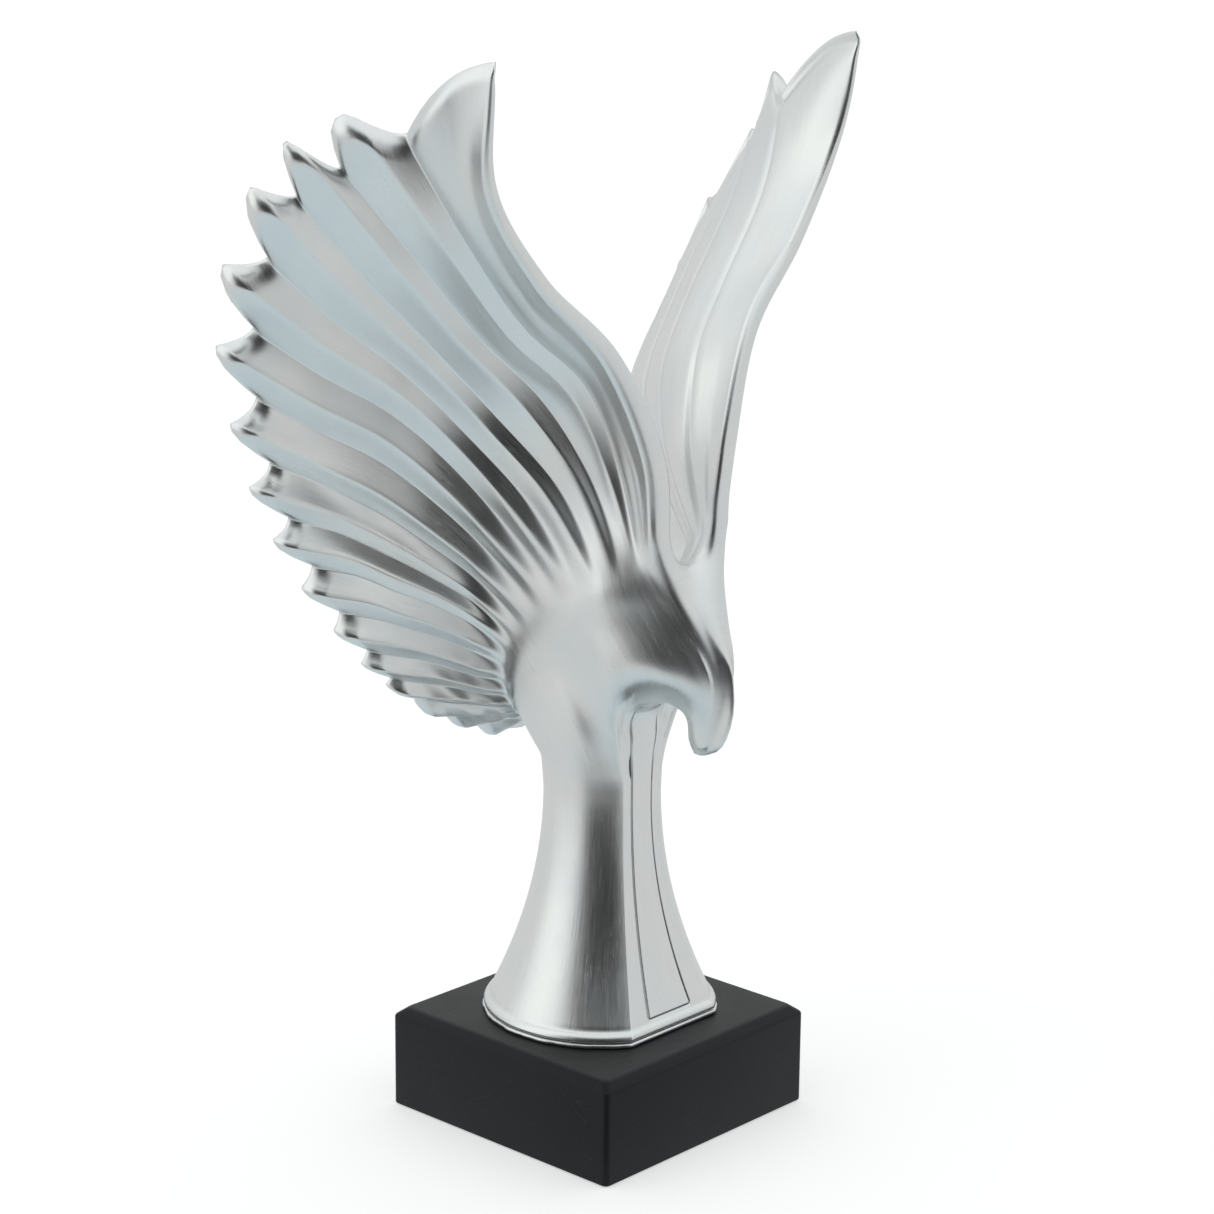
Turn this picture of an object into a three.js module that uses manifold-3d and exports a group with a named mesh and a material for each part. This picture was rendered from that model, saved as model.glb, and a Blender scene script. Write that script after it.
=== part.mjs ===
// Eagle figure trophy: a hollow metallised figure bolted down on a lacquered plinth.
// Millimetres, +Z up. The origin is the middle of the underside, the eagle faces -Y.
import * as THREE from "three";
import { mergeVertices } from "three/addons/utils/BufferGeometryUtils.js";
import Module from "manifold-3d";

const wasm = await Module();
wasm.setup();

// ---------------------------------------------------------------- driving dimensions
const FIT_GAP = 0.3; // clearance between two pieces that touch
const OVERLAP = 1; // how far a cutter passes the face that it cuts

const PLINTH_SIDE = 80;
const PLINTH_TOP_Z = 28.6;
const PLINTH_BEVEL_IN = 2.9;
const PLINTH_BEVEL_DOWN = 2.4;
const POCKET_CLEARANCE = 1; // round the washer, in the counterbore under the plinth
const POCKET_DEPTH = 13;
const FELT_THICKNESS = 1;
const FELT_INSET = 4;
const FELT_CORNER = 3;

const PLATE_THICKNESS = 1.2;
const PLATE_PROUD = 0.4; // the foot plate shows this much all round

const FOOT_HALF_FRONT = 16.6; // flat front of the foot, half its width
const FOOT_FRONT = 27.4; // how far the flat front lies before the axis
const FOOT_RADIUS = 31.4; // round sides and back
const WAIST_Z = 92;
const WAIST_HALF_FRONT = 7.1;
const WAIST_FRONT = 14.8;
const WAIST_RADIUS = 15.4;
const LIP_HEIGHT = 2.2; // rounded lip around the foot of the column
const LIP_ROUND = 0.9;

const WALL = 2.4; // wall of the hollow column
const CAVITY_TOP_Z = 112;
const PANEL_THICKNESS = 2.2;
const PANEL_SHARE = 0.52; // share of the flat front that the panel covers
const PANEL_TOP_Z = 108;
const BOSS_WALL = 2.5; // round the threaded insert
const BOSS_HEIGHT = 22;
const RIB_THICKNESS = 2;
const CORNER_SHARE = 0.22; // share of the round outline that blends into each front corner
const THROAT_GROWTH = { half: 0.05, front: 0.03, radius: 0.11 }; // per mm above the waist
const DOME_FROM_Z = 115; // above the panel the column closes under the bird's back
const DOME_RINGS = [ // height, how far the ring shifts forward, and its scale
  [118.3, -4.2, 0.98],
  [126.6, -9.4, 0.91],
  [134.3, -14.3, 0.77],
  [140.6, -18.2, 0.5],
];

const BOLT_DIAMETER = 6;
const BOLT_HEAD_RIM = 2; // the head stands out this far round the shank
const INSERT_WALL = 1;
const INSERT_LENGTH = 12;
const BOLT_HEAD_HEIGHT = 4;
const BOLT_END_SHORT = 1; // the bolt ends this far below the top of the insert
const THREAD_ROOM = 0.3; // between the bolt and the bore that it turns in
const WASHER_DIAMETER = 16;
const WASHER_THICKNESS = 1.6;
const SPRING_WIDTH = 2.5; // of the spring washer's ring, outside the shank
const SPRING_THICKNESS = 1.6;
const SPRING_GAP = 1.2; // the split in the spring washer

const FEATHERS = 16; // on each wing
const SHEET_THICKNESS = 2.6;
const LEADING_EDGE_EXTRA = 3.8; // the leading edge is this much thicker at its root
const LEADING_EDGE_REACH = 1.2; // how many feathers the thick edge reaches across
const PLEAT_RISE = 0.15; // height of a feather's ridge as a share of its width
const INNER_PLEAT = 0.35; // how much of the pleat shows on the inner face
const PLEAT_FADE = [1.1, 2.2]; // the pleats rise from nothing between these steps of a line
const FIRST_FEATHER_BULGE = 4.5;
const TIP_LONG = 14; // how far an upper feather runs past its notches
const TIP_SHORTER = 8; // a lower feather is this much shorter
const TIP_TAIL_SHORTER = 2; // and a tail feather this much more
const RIDGE_HIGH = 0.3; // where the ridge lies across an upper feather
const RIDGE_LOW = 0.6; // and across a lower one

// Flow lines of the right wing, from the root to the edge, at these feather numbers.
// Each line has points at even steps along a feather.
const WING_LINES = [
  [0, [14, -31, 158], [18, -31, 188], [30, -27, 215], [51, -24, 236], [67, -23, 261], [69.5, -28.5, 290.5]],
  [1, [11, -22, 153], [13, -18, 181], [22, -14, 206], [39, -8, 223], [58, -6, 247], [72, -1, 271]],
  [3, [12, -15, 151], [19, -3, 175], [30, 10, 196], [48, 16, 216], [67, 20, 235], [86, 22, 255]],
  [5, [16, -1, 150], [25, 13, 167], [35, 23, 183], [49, 30, 197], [66, 37, 208], [82, 43, 220]],
  [7, [16, 11, 139], [24, 22, 149], [34, 30, 159], [46, 37, 169], [59, 43, 177], [73, 47, 184]],
  [9, [16, 18, 131], [25, 23, 137], [34, 28, 143], [44, 33, 148], [53, 38, 153], [63, 43, 156]],
  [11, [15, 20, 120], [22, 24, 122], [29, 27, 125], [36, 30, 128], [43, 33, 130], [50, 36, 132]],
  [13, [12, 20, 112], [17, 22, 113], [22, 25, 114], [27, 27, 115], [32, 30, 116], [37, 32, 117]],
  [16, [1.5, 24, 107], [1.5, 26, 106], [1.5, 28, 105], [1.5, 31, 103], [1.5, 34, 101], [1.5, 37, 99]],
];
const TROUGH_FRONT = [-31, 155.5]; // y, z where the wings part above the head
const TROUGH_BACK = [24, 107];
const TROUGH_EASE = 0.8;

// The head and the hooked beak, section by section from the nape to the tip: top and bottom
// of the section as y, z, then its half widths at the top ridge, the middle and the bottom.
const HEAD_SECTIONS = [
  { top: [-22, 149], bottom: [2, 112], ridge: 11, middle: 17, under: 11 },
  { top: [-30.5, 156], bottom: [-12, 113], ridge: 13, middle: 15.5, under: 10 },
  { top: [-35.5, 150], bottom: [-19, 119.5], ridge: 9.5, middle: 12.5, under: 8.5 },
  { top: [-39.5, 143.5], bottom: [-24, 121.5], ridge: 6.2, middle: 9.5, under: 7 },
  { top: [-43.5, 136], bottom: [-28.5, 120.5], ridge: 4, middle: 6.6, under: 5.2 },
  { top: [-46, 128], bottom: [-31.5, 117.5], ridge: 2.6, middle: 4.4, under: 3.6 },
  { top: [-45.6, 119.5], bottom: [-33.2, 113.5], ridge: 2, middle: 3.2, under: 2.5 },
  { top: [-42.5, 112.8], bottom: [-33.6, 110], ridge: 1.4, middle: 2.2, under: 1.6 },
  { top: [-38.5, 108.8], bottom: [-34.6, 108.4], ridge: 0.8, middle: 1.2, under: 0.8 },
];

// Across a section of the head: which half width, its share, and how far down it lies.
const HEAD_PROFILE = [
  ["ridge", 0, 0],
  ["ridge", 1, 0.05],
  ["middle", 0.96, 0.3],
  ["middle", 1, 0.55],
  ["under", 1, 0.92],
  ["under", 0, 1],
];
const HEAD_STEPS = 14; // points down each side of a section

// ---------------------------------------------------------------- small helpers
const smooth = (a, b, x) => THREE.MathUtils.smoothstep(x, a, b);
const SILVER = { color: 0xc9ced0, metalness: 1, roughness: 0.32 };
const STEEL = { color: 0x8f9396, metalness: 1, roughness: 0.4 };
const BRASS = { color: 0xb9974f, metalness: 1, roughness: 0.35 };
const LACQUER = { color: 0x1c1e22, metalness: 0, roughness: 0.45 };
const FELT = { color: 0x17181a, metalness: 0, roughness: 0.95 };

function toSolid(geometry) {
  const bare = geometry.clone();
  bare.deleteAttribute("normal");
  bare.deleteAttribute("uv");
  const merged = mergeVertices(bare, 1e-4);
  return new wasm.Manifold(
    new wasm.Mesh({
      numProp: 3,
      vertProperties: new Float32Array(merged.attributes.position.array),
      triVerts: new Uint32Array(merged.index.array),
    }),
  );
}

function toGeometry(solid) {
  const mesh = solid.getMesh();
  const geometry = new THREE.BufferGeometry();
  geometry.setAttribute("position", new THREE.BufferAttribute(mesh.vertProperties, 3));
  geometry.setIndex(new THREE.BufferAttribute(mesh.triVerts, 1));
  geometry.computeVertexNormals();
  return geometry;
}

function cylinder(diameter, bottom, top, sides = 48) {
  const geometry = new THREE.CylinderGeometry(diameter / 2, diameter / 2, top - bottom, sides);
  geometry.rotateX(Math.PI / 2);
  geometry.translate(0, 0, (bottom + top) / 2);
  return geometry;
}

function box(sizeX, sizeY, sizeZ, x, y, z) {
  const geometry = new THREE.BoxGeometry(sizeX, sizeY, sizeZ);
  geometry.translate(x, y, z);
  return geometry;
}

// A closed skin over rings of points, all with the same count. The ends are closed by a fan
// around their middle, or, for a folded sheet, by a strip between the ring's two halves.
function skinRings(rings, sheet = false) {
  const count = rings[0].length;
  const positions = rings.flat().flatMap((p) => [p.x, p.y, p.z]);
  const index = [];
  const addTriangle = (a, b, c, flip) => (flip ? index.push(a, c, b) : index.push(a, b, c));
  for (let r = 0; r + 1 < rings.length; r++) {
    for (let i = 0; i < count; i++) {
      const a = r * count + i;
      const b = r * count + ((i + 1) % count);
      index.push(a, b, b + count, a, b + count, a + count);
    }
  }
  const addFan = (ring, flip) => {
    const middle = positions.length / 3;
    const centre = rings[ring].reduce((sum, p) => sum.add(p), new THREE.Vector3());
    centre.divideScalar(count);
    positions.push(centre.x, centre.y, centre.z);
    for (let i = 0; i < count; i++) {
      addTriangle(middle, ring * count + i, ring * count + ((i + 1) % count), flip);
    }
  };
  const addStrip = (ring, flip) => {
    const start = ring * count;
    for (let i = 0; i + 1 < count / 2; i++) {
      const opposite = count - 1 - i;
      addTriangle(start + i, start + i + 1, start + opposite - 1, flip);
      addTriangle(start + i, start + opposite - 1, start + opposite, flip);
    }
  };
  const close = sheet ? addStrip : addFan;
  close(0, true);
  close(rings.length - 1, false);
  const geometry = new THREE.BufferGeometry();
  geometry.setAttribute("position", new THREE.Float32BufferAttribute(positions, 3));
  geometry.setIndex(index);
  return geometry;
}

// ---------------------------------------------------------------- column
const PLATE_Z = PLINTH_TOP_Z + FIT_GAP;
const FOOT_Z = PLATE_Z + PLATE_THICKNESS + FIT_GAP;

// One bore clears the bolt in the plinth and the plate, and one size ties the insert to it.
const BOLT_BORE = BOLT_DIAMETER + 2 * FIT_GAP;
const INSERT_BORE = BOLT_DIAMETER + 2 * THREAD_ROOM;
const INSERT_DIAMETER = BOLT_DIAMETER + 2 * INSERT_WALL;
const BOSS_DIAMETER = INSERT_DIAMETER + 2 * BOSS_WALL;
const BOLT_HEAD_ACROSS = BOLT_DIAMETER + 2 * BOLT_HEAD_RIM;
const SPRING_DIAMETER = BOLT_DIAMETER + 2 * SPRING_WIDTH;
const POCKET_DIAMETER = WASHER_DIAMETER + 2 * POCKET_CLEARANCE;

// How far the column has flared at a height: 1 at the foot, 0 from the waist up.
function flare(z) {
  const down = Math.max(0, (WAIST_Z - z) / (WAIST_Z - FOOT_Z));
  return down * down;
}

// Half of the flat front, the distance to it, and the radius of the round rest.
function columnSize(z) {
  const k = flare(z);
  const lift = Math.max(0, z - WAIST_Z);
  return {
    half: WAIST_HALF_FRONT + (FOOT_HALF_FRONT - WAIST_HALF_FRONT) * k + lift * THROAT_GROWTH.half,
    front: WAIST_FRONT + (FOOT_FRONT - WAIST_FRONT) * k + lift * THROAT_GROWTH.front,
    radius: WAIST_RADIUS + (FOOT_RADIUS - WAIST_RADIUS) * k + lift * THROAT_GROWTH.radius,
  };
}

// The D-shaped outline at a height, drawn in by an inset: flat front and round sides.
function columnOutline(z, inset = 0, proud = 0) {
  const size = columnSize(z);
  const half = size.half - inset + proud;
  const front = size.front - inset + proud;
  const radius = size.radius - inset + proud;
  const points = [];
  const FRONT_STEPS = 4;
  for (let i = 0; i < FRONT_STEPS; i++) {
    points.push(new THREE.Vector2(-half + (2 * half * i) / FRONT_STEPS, -front));
  }
  const start = Math.atan2(-front, half);
  const reach = Math.hypot(front, half);
  const ROUND_STEPS = 36;
  for (let i = 0; i < ROUND_STEPS; i++) {
    const share = i / ROUND_STEPS;
    const angle = start + 2 * (Math.PI / 2 - start) * share;
    const away = Math.min(share, 1 - share);
    const r = reach + (radius - reach) * smooth(0, CORNER_SHARE, away);
    points.push(new THREE.Vector2(r * Math.cos(angle), r * Math.sin(angle)));
  }
  return points;
}

function columnRing(z, inset = 0, proud = 0) {
  return columnOutline(z, inset, proud).map((p) => new THREE.Vector3(p.x, p.y, z));
}

function columnBody() {
  const rings = [];
  rings.push(columnRing(FOOT_Z, LIP_ROUND / 2));
  rings.push(columnRing(FOOT_Z + LIP_ROUND / 2));
  rings.push(columnRing(FOOT_Z + LIP_HEIGHT - LIP_ROUND / 2));
  rings.push(columnRing(FOOT_Z + LIP_HEIGHT, LIP_ROUND));
  for (let z = FOOT_Z + 5; z < PANEL_TOP_Z + 4; z += 5) rings.push(columnRing(z));
  const dome = columnRing(DOME_FROM_Z);
  for (const [z, shift, scale] of DOME_RINGS) {
    rings.push(dome.map((p) => new THREE.Vector3(p.x * scale, p.y * scale + shift, z)));
  }
  return skinRings(rings);
}

function columnCavity() {
  const rings = [];
  for (const z of [FOOT_Z - OVERLAP, FOOT_Z + 4, FOOT_Z + 12, 56, 70, 84, WAIST_Z, 102]) {
    rings.push(columnRing(z, WALL));
  }
  rings.push(columnRing(CAVITY_TOP_Z, WALL * 2));
  return skinRings(rings);
}

// The front panel fills a slot through the flat front, from the foot to under the throat.
function panelBlock(gap) {
  const rings = [];
  for (const z of [FOOT_Z + gap, FOOT_Z + 8, 46, 58, 70, 82, WAIST_Z, 100, PANEL_TOP_Z - gap]) {
    const size = columnSize(z);
    const half = size.half * PANEL_SHARE - gap;
    const outer = -size.front;
    const inner = -size.front + PANEL_THICKNESS;
    rings.push([
      new THREE.Vector3(-half, outer, z),
      new THREE.Vector3(half, outer, z),
      new THREE.Vector3(half, inner, z),
      new THREE.Vector3(-half, inner, z),
    ]);
  }
  return skinRings(rings);
}

function panelOpening() {
  const rings = [];
  for (const z of [FOOT_Z - OVERLAP, FOOT_Z + 8, 46, 58, 70, 82, WAIST_Z, 100, PANEL_TOP_Z]) {
    const size = columnSize(z);
    const half = size.half * PANEL_SHARE;
    const outer = -size.front - OVERLAP;
    const inner = -size.front + WALL + OVERLAP;
    rings.push([
      new THREE.Vector3(-half, outer, z),
      new THREE.Vector3(half, outer, z),
      new THREE.Vector3(half, inner, z),
      new THREE.Vector3(-half, inner, z),
    ]);
  }
  return skinRings(rings);
}

// The boss that holds the threaded insert, carried by ribs from the back and the sides.
function bossAndRibs() {
  const top = FOOT_Z + BOSS_HEIGHT;
  const middle = FOOT_Z + BOSS_HEIGHT / 2;
  const reach = columnSize(top).radius - WALL / 2;
  const sideRib = box(2 * reach, RIB_THICKNESS, BOSS_HEIGHT, 0, 0, middle);
  const backRib = box(RIB_THICKNESS, reach, BOSS_HEIGHT, 0, reach / 2, middle);
  const insertTop = FOOT_Z + INSERT_LENGTH + FIT_GAP;
  const insertHole = cylinder(INSERT_DIAMETER + 2 * FIT_GAP, FOOT_Z - OVERLAP, insertTop);
  return toSolid(cylinder(BOSS_DIAMETER, FOOT_Z, top))
    .add(toSolid(sideRib))
    .add(toSolid(backRib))
    .subtract(toSolid(insertHole))
    .subtract(toSolid(cylinder(INSERT_BORE, FOOT_Z, top + OVERLAP)));
}

// ---------------------------------------------------------------- head
function headRing(section) {
  const top = new THREE.Vector3(0, ...section.top);
  const bottom = new THREE.Vector3(0, ...section.bottom);
  const half = new THREE.SplineCurve(
    HEAD_PROFILE.map(([width, share, down]) => new THREE.Vector2(section[width] * share, down)),
  );
  const right = half.getPoints(HEAD_STEPS).map((p) => {
    const down = THREE.MathUtils.clamp(p.y, 0, 1);
    return top.clone().lerp(bottom, down).setX(Math.max(0, p.x));
  });
  const left = right.slice(1, -1).reverse().map((p) => new THREE.Vector3(-p.x, p.y, p.z));
  return [...right, ...left];
}

function headBody() {
  return skinRings(HEAD_SECTIONS.map(headRing).reverse());
}

// ---------------------------------------------------------------- wings
// Cubic through points at uneven parameters, with finite-difference tangents.
function splineAt(keys, values, x) {
  let i = 0;
  while (i + 2 < keys.length && x > keys[i + 1]) i++;
  const slope = (k) => values[k + 1].clone().sub(values[k]).divideScalar(keys[k + 1] - keys[k]);
  const tangent = (k) => {
    if (k === 0) return slope(0);
    if (k === keys.length - 1) return slope(k - 1);
    const before = keys[k] - keys[k - 1];
    const after = keys[k + 1] - keys[k];
    const mixed = slope(k - 1).multiplyScalar(after).add(slope(k).multiplyScalar(before));
    return mixed.divideScalar(before + after);
  };
  const span = keys[i + 1] - keys[i];
  const u = (x - keys[i]) / span;
  if (u > 1) return values[i + 1].clone().addScaledVector(tangent(i + 1), (u - 1) * span);
  const u2 = u * u;
  const u3 = u2 * u;
  return new THREE.Vector3()
    .addScaledVector(values[i], 2 * u3 - 3 * u2 + 1)
    .addScaledVector(tangent(i), (u3 - 2 * u2 + u) * span)
    .addScaledVector(values[i + 1], 3 * u2 - 2 * u3)
    .addScaledVector(tangent(i + 1), (u3 - u2) * span);
}

const SMALL_STEP = 0.05; // for slopes and directions on the sheet
const LINE_STEPS = WING_LINES[0].length - 2;
const LINE_KEYS = WING_LINES.map((line) => line[0]);

// The control points across both wings at feather position s: left edge, trough, right edge.
function acrossAt(s) {
  const right = [];
  for (let k = 0; k <= LINE_STEPS; k++) {
    const column = WING_LINES.map((line) => new THREE.Vector3(...line[k + 1]));
    right.push(splineAt(LINE_KEYS, column, s));
  }
  const ease = Math.pow(s / FEATHERS, TROUGH_EASE);
  const trough = new THREE.Vector3(
    0,
    THREE.MathUtils.lerp(TROUGH_FRONT[0], TROUGH_BACK[0], ease),
    THREE.MathUtils.lerp(TROUGH_FRONT[1], TROUGH_BACK[1], ease),
  );
  return [trough, ...right];
}

// A point of the smooth sheet at feather position s and distance t from the trough.
// t runs 0 at the trough, 1 at the wing's root and 1 + LINE_STEPS at the notches.
function sheetPoint(s, t) {
  const points = acrossAt(THREE.MathUtils.clamp(s, 0, FEATHERS));
  const mirrored = points[1].clone().multiply(new THREE.Vector3(-1, 1, 1));
  const values = [mirrored, ...points];
  const keys = values.map((_, k) => k - 1);
  return splineAt(keys, values, t);
}

// Where a feather's ridge lies between its upper notch, 0, and its lower notch, 1.
function ridgePlace(feather) {
  return THREE.MathUtils.lerp(RIDGE_HIGH, RIDGE_LOW, smooth(3, 8, feather));
}

function tipLength(feather) {
  const lower = TIP_SHORTER * smooth(4, 13, feather);
  return TIP_LONG - lower - TIP_TAIL_SHORTER * smooth(12, FEATHERS, feather);
}

// Length of the feather beyond its notches, for the pointed edge.
function tipReach(s) {
  const feather = Math.min(FEATHERS, Math.floor(s) + 1);
  const f = s - (feather - 1);
  if (feather === 1) return FIRST_FEATHER_BULGE * Math.sin(Math.PI * f);
  const ridge = ridgePlace(feather);
  const rise = f < ridge ? f / ridge : (1 - f) / (1 - ridge);
  return tipLength(feather) * Math.min(1, rise);
}

// Height of the pleat, 0 in a valley and 1 on a ridge.
function pleatProfile(s) {
  const feather = Math.min(FEATHERS, Math.floor(s) + 1);
  if (feather === 1) return 0;
  const f = s - (feather - 1);
  const ridge = ridgePlace(feather);
  return f < ridge ? f / ridge : (1 - f) / (1 - ridge);
}

// Both faces of the sheet at one place of the grid.
function sheetFaces(s, share) {
  const base = sheetPoint(s, 1 + LINE_STEPS);
  const before = sheetPoint(s, 1 + LINE_STEPS - SMALL_STEP);
  const unit = base.distanceTo(before) / SMALL_STEP;
  const t = share * (1 + LINE_STEPS + tipReach(s) / unit);
  const point = sheetPoint(s, t);
  const sStep = s < FEATHERS / 2 ? SMALL_STEP : -SMALL_STEP;
  const alongS = sheetPoint(s + sStep, t).sub(point).divideScalar(sStep);
  const alongT = sheetPoint(s, t + SMALL_STEP).sub(point);
  const normal = alongS.clone().cross(alongT).normalize();
  const fade = smooth(...PLEAT_FADE, t);
  const rise = pleatProfile(s) * PLEAT_RISE * alongS.length() * fade;
  const nearEdge = Math.max(0, 1 - s / LEADING_EDGE_REACH);
  const outward = Math.max(0, 1 - t / (1 + LINE_STEPS));
  const thickness = SHEET_THICKNESS + LEADING_EDGE_EXTRA * nearEdge * outward;
  return {
    outer: point.clone().addScaledVector(normal, rise),
    inner: point.clone().addScaledVector(normal, rise * INNER_PLEAT - thickness),
  };
}

function wingSheet() {
  const columns = [];
  for (let feather = 1; feather <= FEATHERS; feather++) {
    const ridge = ridgePlace(feather);
    for (const f of [0, ridge / 2, ridge, (1 + ridge) / 2]) columns.push(feather - 1 + f);
  }
  columns.push(FEATHERS);
  const ROWS = 13;
  const rings = columns.map((s) => {
    const right = [];
    for (let r = 0; r <= ROWS; r++) right.push(sheetFaces(s, r / ROWS));
    const mirror = (p) => new THREE.Vector3(-p.x, p.y, p.z);
    const outerHalf = right.map((f) => f.outer);
    const innerHalf = right.map((f) => f.inner);
    outerHalf[0].x = 0;
    innerHalf[0].x = 0;
    const outer = [...outerHalf.slice(1).reverse().map(mirror), ...outerHalf];
    const inner = [...innerHalf.slice(1).reverse().map(mirror), ...innerHalf];
    return [...outer, ...inner.reverse()];
  });
  return skinRings(rings.reverse(), true);
}

// ---------------------------------------------------------------- the pieces
function eagleShell() {
  let solid = toSolid(columnBody()).add(toSolid(headBody())).add(toSolid(wingSheet()));
  solid = solid.subtract(toSolid(columnCavity())).add(bossAndRibs());
  return toGeometry(solid.subtract(toSolid(panelOpening())));
}

function footPlate() {
  const outline = columnOutline(FOOT_Z, 0, PLATE_PROUD);
  const bottom = outline.map((p) => new THREE.Vector3(p.x, p.y, PLATE_Z));
  const top = outline.map((p) => new THREE.Vector3(p.x, p.y, PLATE_Z + PLATE_THICKNESS));
  const hole = cylinder(BOLT_BORE, PLATE_Z - OVERLAP, PLATE_Z + PLATE_THICKNESS + OVERLAP);
  return toGeometry(toSolid(skinRings([bottom, top])).subtract(toSolid(hole)));
}

function squareRing(side, z) {
  const h = side / 2;
  return [
    new THREE.Vector3(-h, -h, z),
    new THREE.Vector3(h, -h, z),
    new THREE.Vector3(h, h, z),
    new THREE.Vector3(-h, h, z),
  ];
}

const BLOCK_Z = 0.3; // the block's own underside: the felt stands proud of it
const FELT_POCKET_TOP = FELT_THICKNESS + FIT_GAP;
const FELT_SIDE = PLINTH_SIDE - 2 * FELT_INSET;
const POCKET_TOP = FELT_POCKET_TOP + POCKET_DEPTH;

function plinthBlock() {
  const block = skinRings([
    squareRing(PLINTH_SIDE, BLOCK_Z),
    squareRing(PLINTH_SIDE, PLINTH_TOP_Z - PLINTH_BEVEL_DOWN),
    squareRing(PLINTH_SIDE - 2 * PLINTH_BEVEL_IN, PLINTH_TOP_Z),
  ]);
  const feltPocket = feltShape(FELT_SIDE + 2 * FIT_GAP, FELT_CORNER + FIT_GAP);
  const cutFelt = extrudeUp(feltPocket, BLOCK_Z - OVERLAP, FELT_POCKET_TOP);
  return toGeometry(
    toSolid(block)
      .subtract(toSolid(cutFelt))
      .subtract(toSolid(cylinder(POCKET_DIAMETER, BLOCK_Z - OVERLAP, POCKET_TOP)))
      .subtract(toSolid(cylinder(BOLT_BORE, BLOCK_Z, PLINTH_TOP_Z + OVERLAP))),
  );
}

function feltShape(side, corner) {
  const h = side / 2;
  const shape = new THREE.Shape();
  shape.moveTo(-h + corner, -h);
  shape.lineTo(h - corner, -h);
  shape.absarc(h - corner, -h + corner, corner, -Math.PI / 2, 0);
  shape.lineTo(h, h - corner);
  shape.absarc(h - corner, h - corner, corner, 0, Math.PI / 2);
  shape.lineTo(-h + corner, h);
  shape.absarc(-h + corner, h - corner, corner, Math.PI / 2, Math.PI);
  shape.lineTo(-h, -h + corner);
  shape.absarc(-h + corner, -h + corner, corner, Math.PI, 1.5 * Math.PI);
  return shape;
}

function extrudeUp(shape, bottom, top) {
  const geometry = new THREE.ExtrudeGeometry(shape, {
    depth: top - bottom,
    bevelEnabled: false,
    curveSegments: 6,
  });
  geometry.translate(0, 0, bottom);
  return geometry;
}

function threadedInsert() {
  const body = toSolid(cylinder(INSERT_DIAMETER, FOOT_Z, FOOT_Z + INSERT_LENGTH));
  const bore = cylinder(INSERT_BORE, FOOT_Z - OVERLAP, FOOT_Z + INSERT_LENGTH + OVERLAP);
  return toGeometry(body.subtract(toSolid(bore)));
}

const WASHER_TOP = POCKET_TOP - FIT_GAP;
const SPRING_TOP = WASHER_TOP - WASHER_THICKNESS - FIT_GAP;
const HEAD_TOP = SPRING_TOP - SPRING_THICKNESS - FIT_GAP;

function flatWasher() {
  const bottom = WASHER_TOP - WASHER_THICKNESS;
  const ring = toSolid(cylinder(WASHER_DIAMETER, bottom, WASHER_TOP));
  const bore = cylinder(BOLT_BORE, bottom - OVERLAP, WASHER_TOP + OVERLAP);
  return toGeometry(ring.subtract(toSolid(bore)));
}

function springWasher() {
  const bottom = SPRING_TOP - SPRING_THICKNESS;
  const middle = (bottom + SPRING_TOP) / 2;
  const ring = toSolid(cylinder(SPRING_DIAMETER, bottom, SPRING_TOP));
  const bore = cylinder(BOLT_BORE, bottom - OVERLAP, SPRING_TOP + OVERLAP);
  const depth = SPRING_THICKNESS + 2 * OVERLAP;
  const slot = box(SPRING_GAP, SPRING_DIAMETER, depth, 0, SPRING_DIAMETER / 2, middle);
  return toGeometry(ring.subtract(toSolid(bore)).subtract(toSolid(slot)));
}

function clampBolt() {
  const tip = FOOT_Z + INSERT_LENGTH - BOLT_END_SHORT;
  const shank = toSolid(cylinder(BOLT_DIAMETER, HEAD_TOP - OVERLAP, tip));
  const corner = BOLT_HEAD_ACROSS / Math.cos(Math.PI / 6);
  const head = toSolid(cylinder(corner, HEAD_TOP - BOLT_HEAD_HEIGHT, HEAD_TOP, 6));
  return toGeometry(shank.add(head));
}

// ---------------------------------------------------------------- the assembly
const trophy = new THREE.Group();

function addPiece(name, geometry, finish) {
  const mesh = new THREE.Mesh(geometry, new THREE.MeshStandardMaterial(finish));
  mesh.name = name;
  trophy.add(mesh);
}

addPiece("eagle_shell", eagleShell(), SILVER);
addPiece("column_front_panel", toGeometry(toSolid(panelBlock(FIT_GAP))), SILVER);
addPiece("foot_plate", footPlate(), SILVER);
addPiece("threaded_insert", threadedInsert(), BRASS);
addPiece("clamp_bolt", clampBolt(), STEEL);
addPiece("flat_washer", flatWasher(), STEEL);
addPiece("spring_washer", springWasher(), STEEL);
addPiece("plinth_block", plinthBlock(), LACQUER);
addPiece("base_felt", extrudeUp(feltShape(FELT_SIDE, FELT_CORNER), 0, FELT_THICKNESS), FELT);

export default trophy;
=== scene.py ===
# %% [markdown]
# # An eagle trophy in satin silver
# The trophy is a hollow plastic figure with a bright metallised skin, bolted on a black
# lacquered plinth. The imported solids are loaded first. They give every piece its size and
# place, and the pieces made here either replace them or give them a better finish.

# %% Load the fixed frame
import math

import bmesh
import bpy
import numpy as np
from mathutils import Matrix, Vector
from mathutils.kdtree import KDTree


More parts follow.
